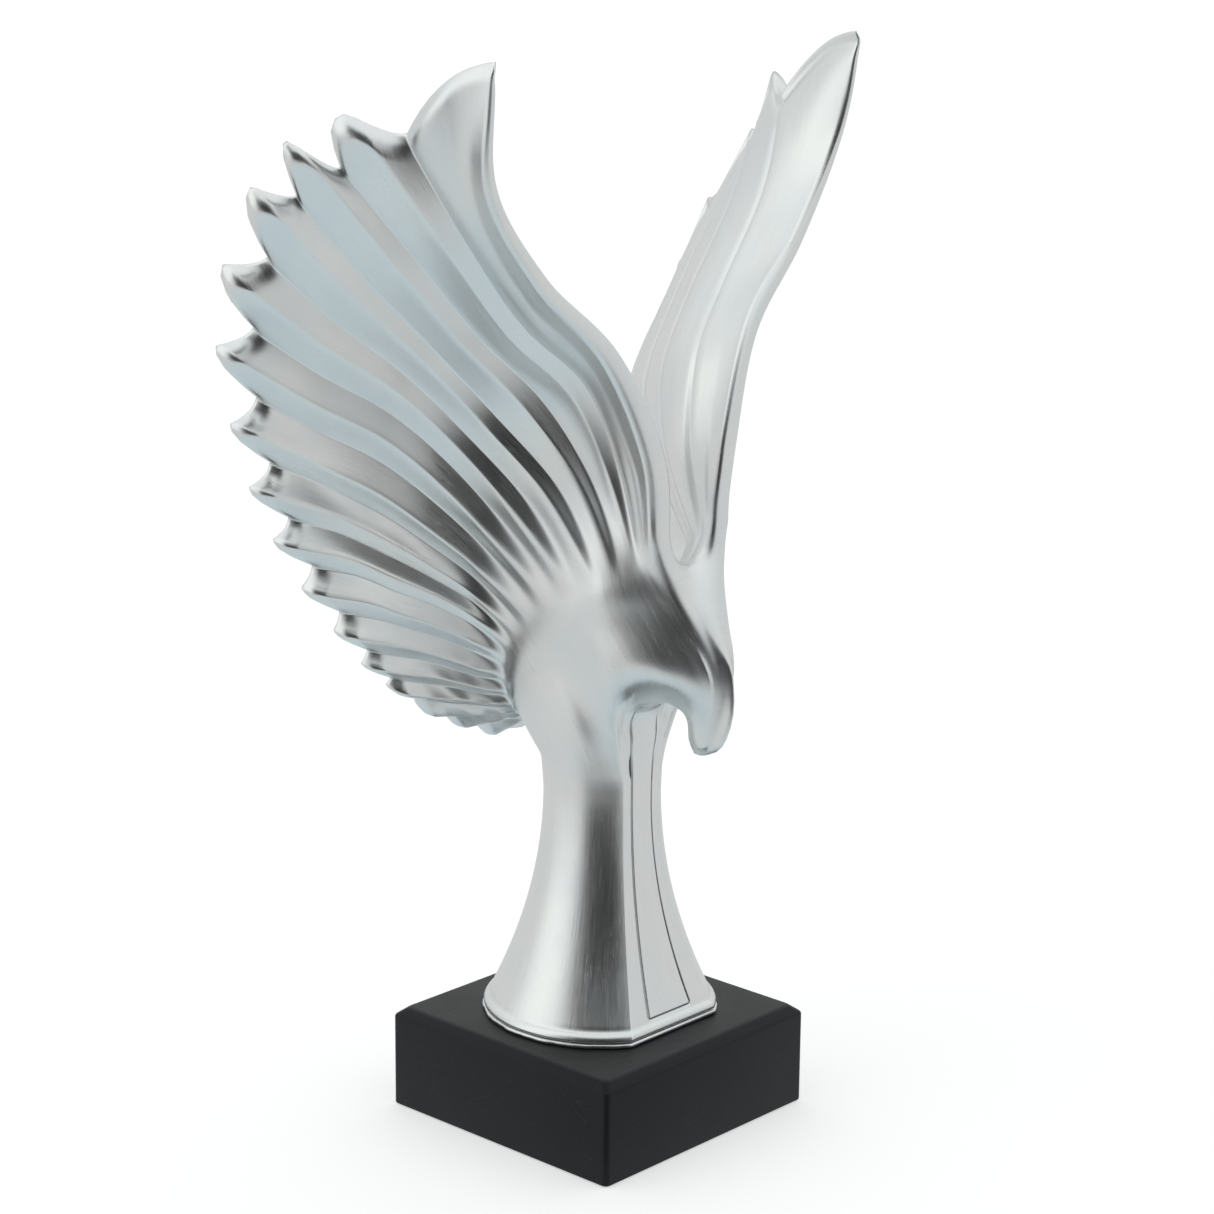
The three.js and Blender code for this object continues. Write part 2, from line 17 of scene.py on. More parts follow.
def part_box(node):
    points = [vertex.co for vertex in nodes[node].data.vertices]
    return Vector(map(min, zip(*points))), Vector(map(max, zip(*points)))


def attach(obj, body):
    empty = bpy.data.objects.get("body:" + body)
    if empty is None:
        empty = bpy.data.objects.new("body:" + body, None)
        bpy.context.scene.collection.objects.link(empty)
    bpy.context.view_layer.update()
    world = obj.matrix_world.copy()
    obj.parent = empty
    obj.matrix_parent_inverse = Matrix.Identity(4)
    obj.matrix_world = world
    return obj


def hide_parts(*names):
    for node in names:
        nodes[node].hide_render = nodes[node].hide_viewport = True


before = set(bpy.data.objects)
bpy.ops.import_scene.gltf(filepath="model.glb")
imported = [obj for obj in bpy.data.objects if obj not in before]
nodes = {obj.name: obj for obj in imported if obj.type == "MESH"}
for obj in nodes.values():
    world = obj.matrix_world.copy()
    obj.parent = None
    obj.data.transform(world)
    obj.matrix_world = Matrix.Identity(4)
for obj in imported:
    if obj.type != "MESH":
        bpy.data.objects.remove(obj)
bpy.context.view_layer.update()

MM = 0.001
scene = bpy.context.scene

# %% [markdown]
# ## Camera
# A long lens from a little above, in front of one corner of the plinth. The camera is
# placed by its azimuth, height angle and distance from a point on the trophy's axis.

# %% Camera
CAMERA_AZIMUTH = math.radians(-137.46)
CAMERA_HEIGHT = math.radians(14.83)
CAMERA_ROLL = math.radians(0.53)
CAMERA_AWAY = 0.8502
AIM = Vector((0.0, 0.0, 0.14166))
AIM_RIGHT = 0.00127
SENSOR_WIDTH = 36  # millimetres, as the focal length
FOCAL_LENGTH = 94.893


def unit_towards(azimuth, height):
    """The direction at an azimuth and a height angle."""
    level = math.cos(height)
    return Vector((level * math.cos(azimuth), level * math.sin(azimuth), math.sin(height)))


def add_object(name, data):
    made = bpy.data.objects.new(name, data)
    scene.collection.objects.link(made)
    return made


def add_camera():
    data = bpy.data.cameras.new("camera")
    data.sensor_width = SENSOR_WIDTH
    data.lens = FOCAL_LENGTH
    camera = add_object("camera", data)
    away = unit_towards(CAMERA_AZIMUTH, CAMERA_HEIGHT)
    right = Vector((0, 0, 1)).cross(away).normalized()
    camera.location = AIM + away * CAMERA_AWAY + right * AIM_RIGHT
    camera.rotation_mode = "QUATERNION"
    camera.rotation_quaternion = (-away).to_track_quat("-Z", "Y")
    camera.rotation_mode = "XYZ"
    camera.rotation_euler.rotate_axis("Z", CAMERA_ROLL)
    scene.camera = camera
    return camera


camera = add_camera()
print("camera at", [round(v, 4) for v in camera.location])

# %% [markdown]
# ## Shape of the eagle
# The figure is one moulded skin. Its flow lines run from the beak and the column up through
# the shoulder and along the feathers, so the surface is drawn the same way: a few guide
# points on each flow line, and a smooth cubic net through them. Operators on a primitive
# can't give these pleated, twisted wings, so the mesh is computed from the net.

# %% Cubic through guide points


def spline(keys, values, x):
    """Cubic through values (rows) at uneven keys, read at every x. Straight past the ends."""
    keys = np.asarray(keys, float)
    values = np.asarray(values, float)
    x = np.asarray(x, float)
    steps = np.diff(keys)
    tail = (1,) * (values.ndim - 1)
    slopes = np.diff(values, axis=0) / steps.reshape((-1,) + tail)
    tangents = np.empty_like(values)
    tangents[0], tangents[-1] = slopes[0], slopes[-1]
    before = steps[:-1].reshape((-1,) + tail)
    after = steps[1:].reshape((-1,) + tail)
    tangents[1:-1] = (slopes[:-1] * after + slopes[1:] * before) / (before + after)
    i = np.clip(np.searchsorted(keys, x, side="right") - 1, 0, len(keys) - 2)
    shape = x.shape + tail
    span = steps[i].reshape(shape)
    u = ((x - keys[i]) / steps[i]).reshape(shape)
    w = np.clip(u, 0, 1)
    point = (
        values[i] * (2 * w**3 - 3 * w**2 + 1)
        + tangents[i] * span * (w**3 - 2 * w**2 + w)
        + values[i + 1] * (3 * w**2 - 2 * w**3)
        + tangents[i + 1] * span * (w**3 - w**2)
    )
    past = np.where(u > 1, u - 1, 0) * tangents[i + 1] * span
    short = np.where(u < 0, u, 0) * tangents[i] * span
    return point + past + short


def ease(a, b, x):
    """0 below a, 1 above b, smooth between."""
    u = np.clip((x - a) / (b - a), 0, 1)
    return u * u * (3 - 2 * u)


def unit(vectors):
    """The same directions with a length of 1."""
    return vectors / np.maximum(np.linalg.norm(vectors, axis=-1, keepdims=True), 1e-9)


print("cubic through 0, 1 and 4, read at 1.5:", spline([0, 1, 2], [0, 1, 4], [1.5]).tolist())

# %% [markdown]
# ### Guide points
# Millimetres, for the wing on the +X side, which is mirrored later. Position 0 is the
# leading edge and 16 the middle of the tail. The wing rows go from the root to the notches
# between the tips, the body rows from the root down to the edge of the beak or the column.

# %% Guide points
FEATHERS = 16
WING_KEYS = [0, 1, 3, 5, 7, 9, 11, 13, 16]
WING_ROWS = [
    [(14.4, -30.6, 163), (14.4, -24.6, 164), (19.4, -15.4, 158), (20.9, -1, 151.4),
     (20.6, 11.5, 140), (19.4, 18, 131), (16.8, 20.3, 120.5), (12.6, 20.3, 112), (0, 24, 107)],
    [(18, -31, 188), (14.4, -19.4, 182.5), (20, -4, 176.4), (25, 13, 167), (24, 22, 149),
     (25, 23, 137), (22, 24, 122), (17, 22, 113), (0, 26, 106)],
    [(30, -27, 215), (22, -14, 206), (30, 10, 196), (35, 23, 183), (34, 30, 159),
     (34, 28, 143), (29, 27, 125), (22, 25, 114), (0, 28, 105)],
    [(51, -24, 236), (39, -8, 223), (48, 16, 216), (49, 30, 197), (46, 37, 169),
     (44, 33, 148), (36, 30, 128), (27, 27, 115), (0, 31, 103)],
    [(67, -23, 261), (58, -6, 247), (67, 20, 235), (66, 37, 208), (59, 43, 177),
     (53, 38, 153), (43, 33, 130), (32, 30, 116), (0, 34, 101)],
    [(69.5, -28.5, 290.5), (72, -1, 271), (86, 22, 255), (82, 43, 220), (73, 47, 184),
     (63, 43, 156), (50, 36, 132), (37, 32, 117), (0, 37, 99)],
]
BODY_KEYS = [0, 1, 2, 3, 4, 5, 7, 9, 11, 13, 16]
SHOULDER_ROW = [
    (7.4, -37.5, 145.8), (11.4, -32.2, 146), (14.9, -26.4, 145), (17.7, -20.6, 143),
    (19.2, -14.6, 140.7), (18.6, -8, 135), (18.5, 3, 128), (17.8, 10.5, 121), (16.1, 14.5, 113.5),
    (12.6, 16.2, 108.3), (0, 20.5, 104)]
TOP_ROW = [
    (11, -33, 154.9), (14.4, -28, 154.8), (17.6, -22.8, 153), (19.9, -17.6, 151.3),
    (20.4, -11.4, 148), (20.7, -4.8, 143.8), (20, 7, 134.5), (18.9, 14, 126.2), (16.6, 17.2, 117),
    (12.6, 18, 110.2), (0, 22.3, 105.6)]
NECK_ROW = [
    (2.2, -44.4, 129.5), (7.2, -40.8, 129.5), (11.6, -35.4, 130.5), (15.2, -29, 131.5),
    (17.8, -20.5, 129.5), (14.8, -15, 117.5), (17.4, -6, 114), (17.4, 2.5, 110), (15.8, 9, 106.5),
    (11.6, 13.5, 103.5), (0, 17.5, 101.5)]
# Lower edge of the head, from the tip of the beak back under the throat to the column.
JAW = [
    (1.6, -38.5, 108.9), (2.0, -35.6, 109.6), (2.5, -35.2, 112.6), (3.5, -34.5, 117.8),
    (5, -32.3, 121.5), (6, -29, 122.9), (7.5, -25.8, 123.6), (8, -21, 122.2),
    (9, -18.4, 120.8), (9.5, -16.1, 118), (9.5, -14.7, 114), (9, -15, 108.6),
    (8.1, -14.8, 104), (7.4, -14.9, 100)]
JAW_END = 5  # the feather whose flow line ends on the column's front corner
TROUGH_FRONT = (0, -30.2, 159.5)
TROUGH_BACK = (0, 24, 107)
COLUMN_TOP = 100  # where the body rows meet the column
print(len(WING_ROWS), "wing rows and", len(JAW), "points on the lower edge of the head")

# %% [markdown]
# ### Column
# The column has a flat front and round sides, and flares to its foot with a square law.

# %% Column outline
FOOT_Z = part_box("eagle_shell")[0][2] / MM
WAIST_Z = 92
FOOT = (16.6, 27.4, 31.4)  # half of the flat front, distance to it, radius of the rest
WAIST = (7.1, 14.8, 15.4)
WAIST_RISE = 8
ABOVE_WAIST = (0.3, 0.1, 0.6)  # growth from the waist to WAIST_RISE above it
CORNER_SHARE = 0.22


def column_point(share, z):
    """A point of the outline at height z: share 0 at the front corner, 1 at the back."""
    share = np.asarray(share, float)
    flare = max(0, (WAIST_Z - z) / (WAIST_Z - FOOT_Z)) ** 2
    lift = max(0, z - WAIST_Z) / WAIST_RISE
    half, front, radius = (
        w + (f - w) * flare + up * lift for w, f, up in zip(WAIST, FOOT, ABOVE_WAIST))
    start = math.atan2(-front, half)
    reach = math.hypot(front, half)
    angle = start + (math.pi / 2 - start) * share
    r = reach + (radius - reach) * ease(0, 2 * CORNER_SHARE, share)
    return np.stack([r * np.cos(angle), r * np.sin(angle), np.full(np.shape(angle), z)], -1)


print("column at its foot", column_point([0, 0.5, 1], FOOT_Z).round(1).tolist())

# %% [markdown]
# ### Flow net
# Every column of the net is one flow line. The rows below the root make the head and the
# body, the rows above make the feathers. Past the notches each line is drawn out to the
# tip's outline, and the pleats are raised along the normal of the smooth net.

# %% Net of the smooth surface
COLUMNS_PER_FEATHER = 14
BODY_STEPS = 30
WING_STEPS = 60
TROUGH_STEPS = 10
LAST_ROW = 6  # number of the notch row, when the root is row 1
EDGE_ROW = -3  # number of the row on the lower edge of the head
SLOPE_DROP = 12  # the row that only sets the slope lies this far below the column's top


def body_rows(s):
    """Rows below the root at feather positions s: column, lower edge, neck, shoulder."""
    jaw = np.array(JAW, float)
    length = np.r_[0, np.cumsum(np.linalg.norm(np.diff(jaw, axis=0), axis=1))]
    along = np.clip(s / JAW_END, 0, 1) * length[-1]
    lower = spline(length, jaw, along)
    share = np.clip((s - JAW_END) / (FEATHERS - JAW_END), 0, 1)
    on_column = s >= JAW_END
    lower[on_column] = column_point(share[on_column], COLUMN_TOP)
    neck = spline(BODY_KEYS, NECK_ROW, s)
    under = 2 * lower - neck
    blend = ease(JAW_END - 1, JAW_END, s)[:, None]
    column = column_point(share, COLUMN_TOP - SLOPE_DROP)
    shoulder, top = spline(BODY_KEYS, SHOULDER_ROW, s), spline(BODY_KEYS, TOP_ROW, s)
    return [under * (1 - blend) + column * blend, lower, neck, shoulder, top]


def wing_rows(s):
    return [spline(WING_KEYS, row, s) for row in WING_ROWS]


def smooth_net(s, t):
    """Points of the outer skin for feather positions s (n) at rows t (n, m).

    Row 1 is the root, row 6 the notches, row -3 the lower edge of the head."""
    rows = np.array(body_rows(s) + wing_rows(s))
    keys = np.arange(EDGE_ROW - 1, EDGE_ROW - 1 + len(rows))
    points = np.empty(t.shape + (3,))
    for i in range(len(s)):
        points[i] = spline(keys, rows[:, i], t[i])
    return points


# %% [markdown]
# ### Feather tips and pleats
# The tips of the upper feathers are hooked: hollow above, full below. Each feather has a
# ridge nearer its upper edge and the valleys run to the notches.

# %% Tips and pleats
TIP_LONG, TIP_MIDDLE, TIP_SHORT = 14, 6, 4
TIP_PAST_RIDGE = 0.12  # how far past the ridge the first tips have their peak
TIP_HOOK = 0.5  # how much hollower the first tips are above their peak
TIP_ROUND = 0.34  # share of a tip that is rounded off
TIP_BLUNT = 0.7  # and how much of that share is left
RIDGE_FIRST, RIDGE_LAST = 0.3, 0.6  # place of the ridge across a feather
RIDGE_ROUND = 0.12  # share of a pleat that is rounded off at its ridge
PLEAT_RISE = 0.18
FIRST_BULGE = 4.5  # the leading feather has one round end and a low, late ridge
FIRST_RISE = 0.35
FIRST_FLAT = 0.35


def ridge_place(feather):
    return RIDGE_FIRST + (RIDGE_LAST - RIDGE_FIRST) * ease(3, 8, feather)


def tip_length(feather):
    to_middle = (TIP_LONG - TIP_MIDDLE) * ease(4, 13, feather)
    return TIP_LONG - to_middle - (TIP_MIDDLE - TIP_SHORT) * ease(12, 16, feather)


def split(s):
    """Feather number and place within the feather."""
    feather = np.minimum(FEATHERS, np.floor(s + 1e-9) + 1)
    return feather, np.clip(s - (feather - 1), 0, 1)


def tip_reach(s):
    """How far a flow line runs past the notches."""
    feather, f = split(s)
    peak = ridge_place(feather) + TIP_PAST_RIDGE * (1 - ease(5, 11, feather))
    hollow = 1 + TIP_HOOK * (1 - ease(8, 13, feather))
    full = 0.6 + 0.9 * hollow
    above = np.clip(f / peak, 0, 1) ** hollow
    below = 1 - np.clip((f - peak) / (1 - peak), 0, 1) ** full
    rise = np.minimum(above, below)
    past = np.clip((rise - 1 + TIP_ROUND) / TIP_ROUND, 0, 1)
    rounded = 1 - TIP_ROUND + TIP_ROUND * np.sin(past * math.pi / 2) * TIP_BLUNT
    reach = tip_length(feather) * np.where(rise > 1 - TIP_ROUND, rounded, rise)
    return np.where(feather == 1, FIRST_BULGE * np.sin(math.pi * f), reach)


def pleat(s):
    """0 in a valley and 1 on a ridge, with a softly rounded ridge."""
    feather, f = split(s)
    ridge = ridge_place(feather)
    wave = np.where(f < ridge, f / ridge, (1 - f) / (1 - ridge))
    soft = wave - np.maximum(wave - 1 + RIDGE_ROUND, 0) ** 2 / (2 * RIDGE_ROUND)
    late = np.clip((f - FIRST_FLAT) / (1 - FIRST_FLAT), 0, 1) ** 1.6
    return np.where(feather == 1, FIRST_RISE * np.sin(math.pi * late) ** 0.8, soft)


print("tips reach", tip_length(np.array([2, 8, 16])).round(1).tolist(), "mm past the notches")

# %% Grid of flow lines


def feather_places():
    """Feather positions of the flow lines, closer together at ridges and valleys."""
    places = []
    up = COLUMNS_PER_FEATHER // 2
    down = COLUMNS_PER_FEATHER - up
    for feather in range(1, FEATHERS + 1):
        ridge = float(ridge_place(feather)) if feather > 1 else 0.5
        for start, reach, count in ((0, ridge, up), (ridge, 1 - ridge, down)):
            u = 0.5 - 0.5 * np.cos(math.pi * np.arange(count) / count)
            places.extend(feather - 1 + start + reach * u)
    return np.array(places + [float(FEATHERS)])


S = feather_places()
JAW_COLUMN = JAW_END * COLUMNS_PER_FEATHER  # this flow line lies on the front corner


def row_values():
    """Row numbers of every flow line from the lower edge to the tip."""
    probe = 0.05  # of a row, to measure how long a row is at the notches
    ends = np.tile([LAST_ROW - probe, float(LAST_ROW)], (len(S), 1))
    before, notch = smooth_net(S, ends).transpose(1, 0, 2)
    unit = np.linalg.norm(notch - before, axis=1) / probe
    end = LAST_ROW + tip_reach(S) / unit
    body = np.linspace(EDGE_ROW, 1, BODY_STEPS + 1)
    share = np.linspace(0, 1, WING_STEPS + 1)[1:]
    share *= 1.5 - 0.5 * share  # closer rows near the tips
    wing = 1 + (end[:, None] - 1) * share[None, :]
    return np.hstack([np.tile(body, (len(S), 1)), wing]), end, unit


T, T_END, T_UNIT = row_values()
ROOT_ROW = BODY_STEPS
print(len(S), "flow lines with", T.shape[1], "rows")

# %% [markdown]
# ### Two faces of the wing
# The outer face carries the full pleats. The inner face is the outer one moved back by the
# wall, with shallower pleats. The wall is thicker along the leading edge.

# %% Outer and inner face
SHEET = 2.6
LEAD_NOSE = 1.6  # depth of the rounded nose of the leading edge
NOSE_REACH = 0.5  # of the first feather
STRIP_REACH = 1.1
STRIP_KEYS = [1, 2, 3, 4, 5, 6, 7]  # rows, and how thick the leading edge is there
STRIP_THICK = [7, 7, 5.6, 4.2, 3.4, 1.8, 1.4]
INNER_PLEAT = 0.12
GROOVE = 0.5  # depth of the narrow groove along each valley of the inner face
GROOVE_WIDTH = 0.7
CURL = 0.3  # the feathers curl inwards by this much at their outline
CURL_REACH = 11
EDGE_ROUND = 1.2  # and roll over by this much more in the last few millimetres
EDGE_REACH = 3


def net_width(t):
    """How wide a feather is, in millimetres, at every point of the smooth net."""
    step = 0.04
    high, low = np.minimum(S + step, FEATHERS), np.maximum(S - step, 0)
    across = (smooth_net(high, t) - smooth_net(low, t)) / (high - low)[:, None, None]
    return np.linalg.norm(across, axis=2)


def relaxed(grid, rounds=24):
    """The net with the kinks between body and wing rows evened out. Its edges stay put."""
    hold = ease(EDGE_ROW + 0.05, EDGE_ROW + 0.8, T) * (1 - ease(1.5, 2.4, T))
    hold *= (ease(0, 0.9, S) * (1 - ease(FEATHERS - 1, FEATHERS, S)))[:, None]
    weight = 0.5 * hold[1:-1, 1:-1, None]
    grid = grid.copy()
    for _ in range(rounds):
        middle = grid[1:-1, 1:-1]
        mean = (grid[:-2, 1:-1] + grid[2:, 1:-1] + grid[1:-1, :-2] + grid[1:-1, 2:]) / 4
        grid[1:-1, 1:-1] = middle + (mean - middle) * weight
    return grid


def grid_normals(grid):
    """Outward normals of a grid of points."""
    return unit(np.cross(np.gradient(grid, axis=0), np.gradient(grid, axis=1)))


def faces_of_wing():
    base = relaxed(smooth_net(S, T))
    width = net_width(T)
    to_edge = (T_END[:, None] - T) * T_UNIT[:, None]
    curl = CURL * np.clip(1 - to_edge / CURL_REACH, 0, 1) ** 2
    roll = EDGE_ROUND * np.clip(1 - to_edge / EDGE_REACH, 0, 1) ** 2
    inwards = (curl + roll) * ease(1, 3, T)
    base = base - grid_normals(base) * inwards[:, :, None]
    back = np.clip(1 - S / NOSE_REACH, 0, 1) * LEAD_NOSE
    ahead = unit(base[6] - base[0])
    base = base + ahead[None] * (back[:, None] * ease(0.8, 1.6, T))[:, :, None]
    normal = grid_normals(base)
    fade_in = ease(0.5, 2.1, T)
    fade_out = ease(-1, 5, to_edge)
    rise = pleat(S)[:, None] * PLEAT_RISE * width * fade_in * fade_out
    outer = base + normal * rise[:, :, None]
    strip = np.interp(T, STRIP_KEYS, STRIP_THICK)
    near = np.clip(1 - S[:, None] / STRIP_REACH, 0, 1)
    wall = SHEET + np.maximum(strip - SHEET, -1) * near**1.5
    thin_tip = 0.5 + 0.5 * ease(0, 7, to_edge)
    from_valley = np.abs(S - np.round(S)) * (np.round(S) > 0) + (np.round(S) == 0)
    groove = GROOVE * np.exp(-((from_valley[:, None] * width / GROOVE_WIDTH) ** 2)) * fade_in
    groove *= ease(2, 12, to_edge)
    inner = base + normal * (rise * INNER_PLEAT + groove - wall * thin_tip)[:, :, None]
    return outer, inner[:, ROOT_ROW:]


OUTER, INNER = faces_of_wing()
OUTER[-1, :, 0] = 0
INNER[-1, :, 0] = 0
print("wing tip at", OUTER[0, -1].round(1).tolist())

# %% [markdown]
# ### Back, crown, beak and front
# The inner faces of both wings meet in a trough along the bird's back. The crown closes the
# head between its two ridges, and the underside runs from the beak under the throat and
# down the flat front of the column. Each strip shares its edge points with its neighbours.

# %% Trough along the back
RIM_STEPS = 10
CROSS_STEPS = RIM_STEPS + TROUGH_STEPS


def trough_rows():
    """Inner skin from the middle of the back (first) to the root line (last)."""
    share = (S / FEATHERS) ** 0.8
    middle = np.array(TROUGH_FRONT) + (np.array(TROUGH_BACK) - TROUGH_FRONT) * share[:, None]
    grid = np.empty((len(S), TROUGH_STEPS + 1, 3))
    for i in range(len(S)):
        root = INNER[i, 0]
        ahead = INNER[i, 2] - root
        mirrored = root * (-1, 1, 1)
        u = np.linspace(0, 1, TROUGH_STEPS + 1)
        grid[i] = spline([-1, 0, 1, 1.4], [mirrored, middle[i], root, root + ahead], u)
    grid[:, 0, 0] = 0
    grid[:, -1] = INNER[:, 0]
    return grid


TROUGH = trough_rows()
print("trough", TROUGH.shape)

# %% Rims of the tips and of the leading edge


def rim(a, b, out, bulge, square):
    """Rounded edge strip from points a to points b, pushed towards out."""
    u = 0.5 - 0.5 * np.cos(math.pi * np.linspace(0, 1, RIM_STEPS + 1))
    lift = (1 - np.abs(2 * u - 1) ** square) ** (1 / square) * bulge
    return a[:, None] * (1 - u[None, :, None]) + b[:, None] * u[None, :, None] + (
        out[:, None] * lift[None, :, None])


NOSE_PAST = 0.3  # the leading edge's rim stands out by this much more than its nose
TIP_RIM = rim(OUTER[:, -1], INNER[:, -1], unit(OUTER[:, -1] - OUTER[:, -3]), 1.1, 2.1)
lead_out = unit(OUTER[0, ROOT_ROW:] - OUTER[2, ROOT_ROW:])
lead_out *= 1 - 0.55 * ease(0.8, 1, np.linspace(0, 1, len(lead_out)))[:, None]
LEAD_RIM = rim(OUTER[0, ROOT_ROW:], INNER[0], lead_out, LEAD_NOSE + NOSE_PAST, 2.5)
LEAD_RIM[-1] = TIP_RIM[0]
TIP_RIM[-1, :, 0] = 0
print("rims", TIP_RIM.shape, LEAD_RIM.shape)

# %% Crown
CROWN_MIDDLE = [  # middle line of the head from the tip of the beak to the valley, by row
    (-3, (0, -38.8, 108.2)), (-2.66, (0, -43.6, 113.3)), (-2.33, (0, -46.3, 121.5)),
    (-2, (0, -46.1, 130.5)), (-1.5, (0, -43, 139)), (-1, (0, -39.3, 147)),
    (-0.5, (0, -36.4, 151.8)), (0, (0, -33.7, 155.6)), (1, (0, -30.2, 159.5))]


def crown_grid():
    """Head between the ridge (first) and the middle (last), from the beak to the valley."""
    keys, points = zip(*CROWN_MIDDLE)
    rows = np.linspace(EDGE_ROW, 1, BODY_STEPS + 1)
    middle = spline(keys, points, rows)
    grid = np.empty((BODY_STEPS + 1, CROSS_STEPS + 1, 3))
    u = np.linspace(0, 1, CROSS_STEPS + 1)
    for j in range(BODY_STEPS + 1):
        ridge = OUTER[0, j]
        mirrored = ridge * (-1, 1, 1)
        grid[j] = spline([0, 1, 2], [ridge, middle[j], mirrored], u)
    top = np.vstack([LEAD_RIM[0], TROUGH[0, ::-1][1:]])
    shift = top - grid[-1]
    for j in range(BODY_STEPS + 1):
        grid[j] += shift * ease(-1, 1, rows[j])
    grid[:, 0] = OUTER[0, :ROOT_ROW + 1]
    grid[-1] = top
    grid[:, -1, 0] = 0
    return grid


CROWN = crown_grid()
print("crown", CROWN.shape)

# %% Column and its lip
LIP = [(3.4, 0), (2.7, -0.12), (2.3, 0.12), (1.9, 0.48), (1.4, 0.6), (0.8, 0.58),
       (0.3, 0.3), (0, -0.15)]  # height above the foot and how far the lip stands proud
LIP_TOP = 4.2
COLUMN_STEPS = 30


def column_rings():
    """Heights of the column's rings, and how far each stands proud of the plain flare."""
    body = np.linspace(COLUMN_TOP, FOOT_Z + LIP_TOP, COLUMN_STEPS)
    heights = np.r_[body, [FOOT_Z + up for up, _ in LIP]]
    proud = np.r_[np.zeros(COLUMN_STEPS), [out for _, out in LIP]]
    return heights, proud


def pushed_out(ring, proud):
    """A ring of points moved away from the column's axis, each by its own distance."""
    return ring + unit(ring * (1, 1, 0)) * np.reshape(proud, (-1, 1))


def column_grid():
    share = np.clip((S[JAW_COLUMN:] - JAW_END) / (FEATHERS - JAW_END), 0, 1)
    rings = [pushed_out(column_point(share, z), proud) for z, proud in zip(*column_rings())]
    grid = np.stack(rings, 1)
    grid[-1, :, 0] = 0
    return grid


COLUMN = column_grid()
print("column", COLUMN.shape)

# %% Underside of the head and flat front
JAW_BULGE = [(0, 0.8), (0.2, 2), (0.5, 4), (2, 3.5), (3, 2.5), (4, 0.8), (5, 0)]
PANEL_SHARE = 0.52  # share of the flat front that the panel covers
PANEL_RECESS = 1.3
PANEL_GAP = 0.3
PANEL_FROM = 48  # row of the front, under the throat, where the panel starts
PANEL_ABOVE_FOOT = 3.9
SLOT_FROM = PANEL_FROM - 2
SLOT_WALL = 0.012  # width of the slot's wall, as a share of the half width
WALL_COLUMN = 8  # number of the point of each row where the wall stands
GATHER_ROWS = (14, PANEL_FROM - 8)  # rows over which the points move to the wall
NARROWEST = 3  # the least half width that the gap is made a share of


def front_edge():
    """The right edge of the underside, which way is out there, and how far it bulges."""
    edge = np.vstack([OUTER[:JAW_COLUMN + 1, 0], COLUMN[0, 1:]])
    keys, bulges = zip(*JAW_BULGE)
    bulge = np.r_[np.interp(S[:JAW_COLUMN + 1], keys, bulges), np.zeros(COLUMN.shape[1] - 1)]
    ahead = unit(np.gradient(edge, axis=0) * (0, 1, 1))
    return edge, np.cross(ahead, (1, 0, 0)), bulge


FRONT_EDGE, FRONT_OUT, FRONT_BULGE = front_edge()
PANEL_TO = int(np.flatnonzero(FRONT_EDGE[:, 2] > FOOT_Z + PANEL_ABOVE_FOOT)[-1])


def front_points(k, u):
    """Points of row k of the underside: u is 0 at the right edge and 1 in the middle."""
    edge = FRONT_EDGE[k]
    middle = edge * (0, 1, 1) + FRONT_OUT[k] * FRONT_BULGE[k]
    return spline([0, 1, 2], [edge, middle, edge * (-1, 1, 1)], u)


def seam_places(k):
    """Where row k has its points: two of them make the wall of the panel's slot."""
    wall = 1 - PANEL_SHARE - PANEL_GAP / max(FRONT_EDGE[k][0], NARROWEST)
    outside = np.linspace(0, wall, WALL_COLUMN + 1)
    inside = np.linspace(wall + SLOT_WALL, 1, CROSS_STEPS - WALL_COLUMN)
    even = np.linspace(0, 1, CROSS_STEPS + 1)
    return even + (np.r_[outside, inside] - even) * ease(*GATHER_ROWS, k)


def front_grid():
    """Underside from the right edge (first) to the middle (last), from beak to foot."""
    grid = np.empty((len(FRONT_EDGE), CROSS_STEPS + 1, 3))
    for k in range(len(FRONT_EDGE)):
        u = seam_places(k)
        depth = np.where(np.arange(len(u)) > WALL_COLUMN, PANEL_RECESS, 0)
        depth = depth * (SLOT_FROM <= k <= PANEL_TO)
        grid[k] = front_points(k, u) - FRONT_OUT[k] * depth[:, None]
    grid[0] = CROWN[0]
    grid[:, 0] = FRONT_EDGE
    grid[:, -1, 0] = 0
    return grid


FRONT = front_grid()
print("front", FRONT.shape, "with the panel from row", PANEL_FROM, "to", PANEL_TO)

# %% Mesh from grids


def add_grid(bm, grid, layer, flow):
    """Adds a grid of points (millimetres) as quads, with flow coordinates in a UV map."""
    vertices = [[bm.verts.new(Vector(p) * MM) for p in row] for row in grid]
    for i in range(len(grid) - 1):
        for j in range(len(grid[0]) - 1):
            corners = [(i, j), (i + 1, j), (i + 1, j + 1), (i, j + 1)]
            face = bm.faces.new([vertices[a][b] for a, b in corners])
            for loop, (a, b) in zip(face.loops, corners):
                loop[layer].uv = flow[a][b]


def flow_of(grid, start=(0, 0)):
    """Lengths across and along a grid in metres, for grain that follows the surface."""
    across = np.linalg.norm(np.diff(grid, axis=0), axis=2).mean(axis=1)
    along = np.linalg.norm(np.diff(grid, axis=1), axis=2)
    u = np.r_[0, np.cumsum(across)] * MM + start[0]
    v = np.hstack([np.zeros((len(grid), 1)), np.cumsum(along, axis=1)]) * MM + start[1]
    return [[(u[i], v[i][j]) for j in range(len(grid[0]))] for i in range(len(grid))]


def turned(flow):
    """Flow coordinates of a grid whose rows, not columns, follow the surface."""
    return [[(v, u) for u, v in row] for row in flow]


print("flow of the crown ends at", [round(float(v), 3) for v in flow_of(CROWN)[-1][-1]])

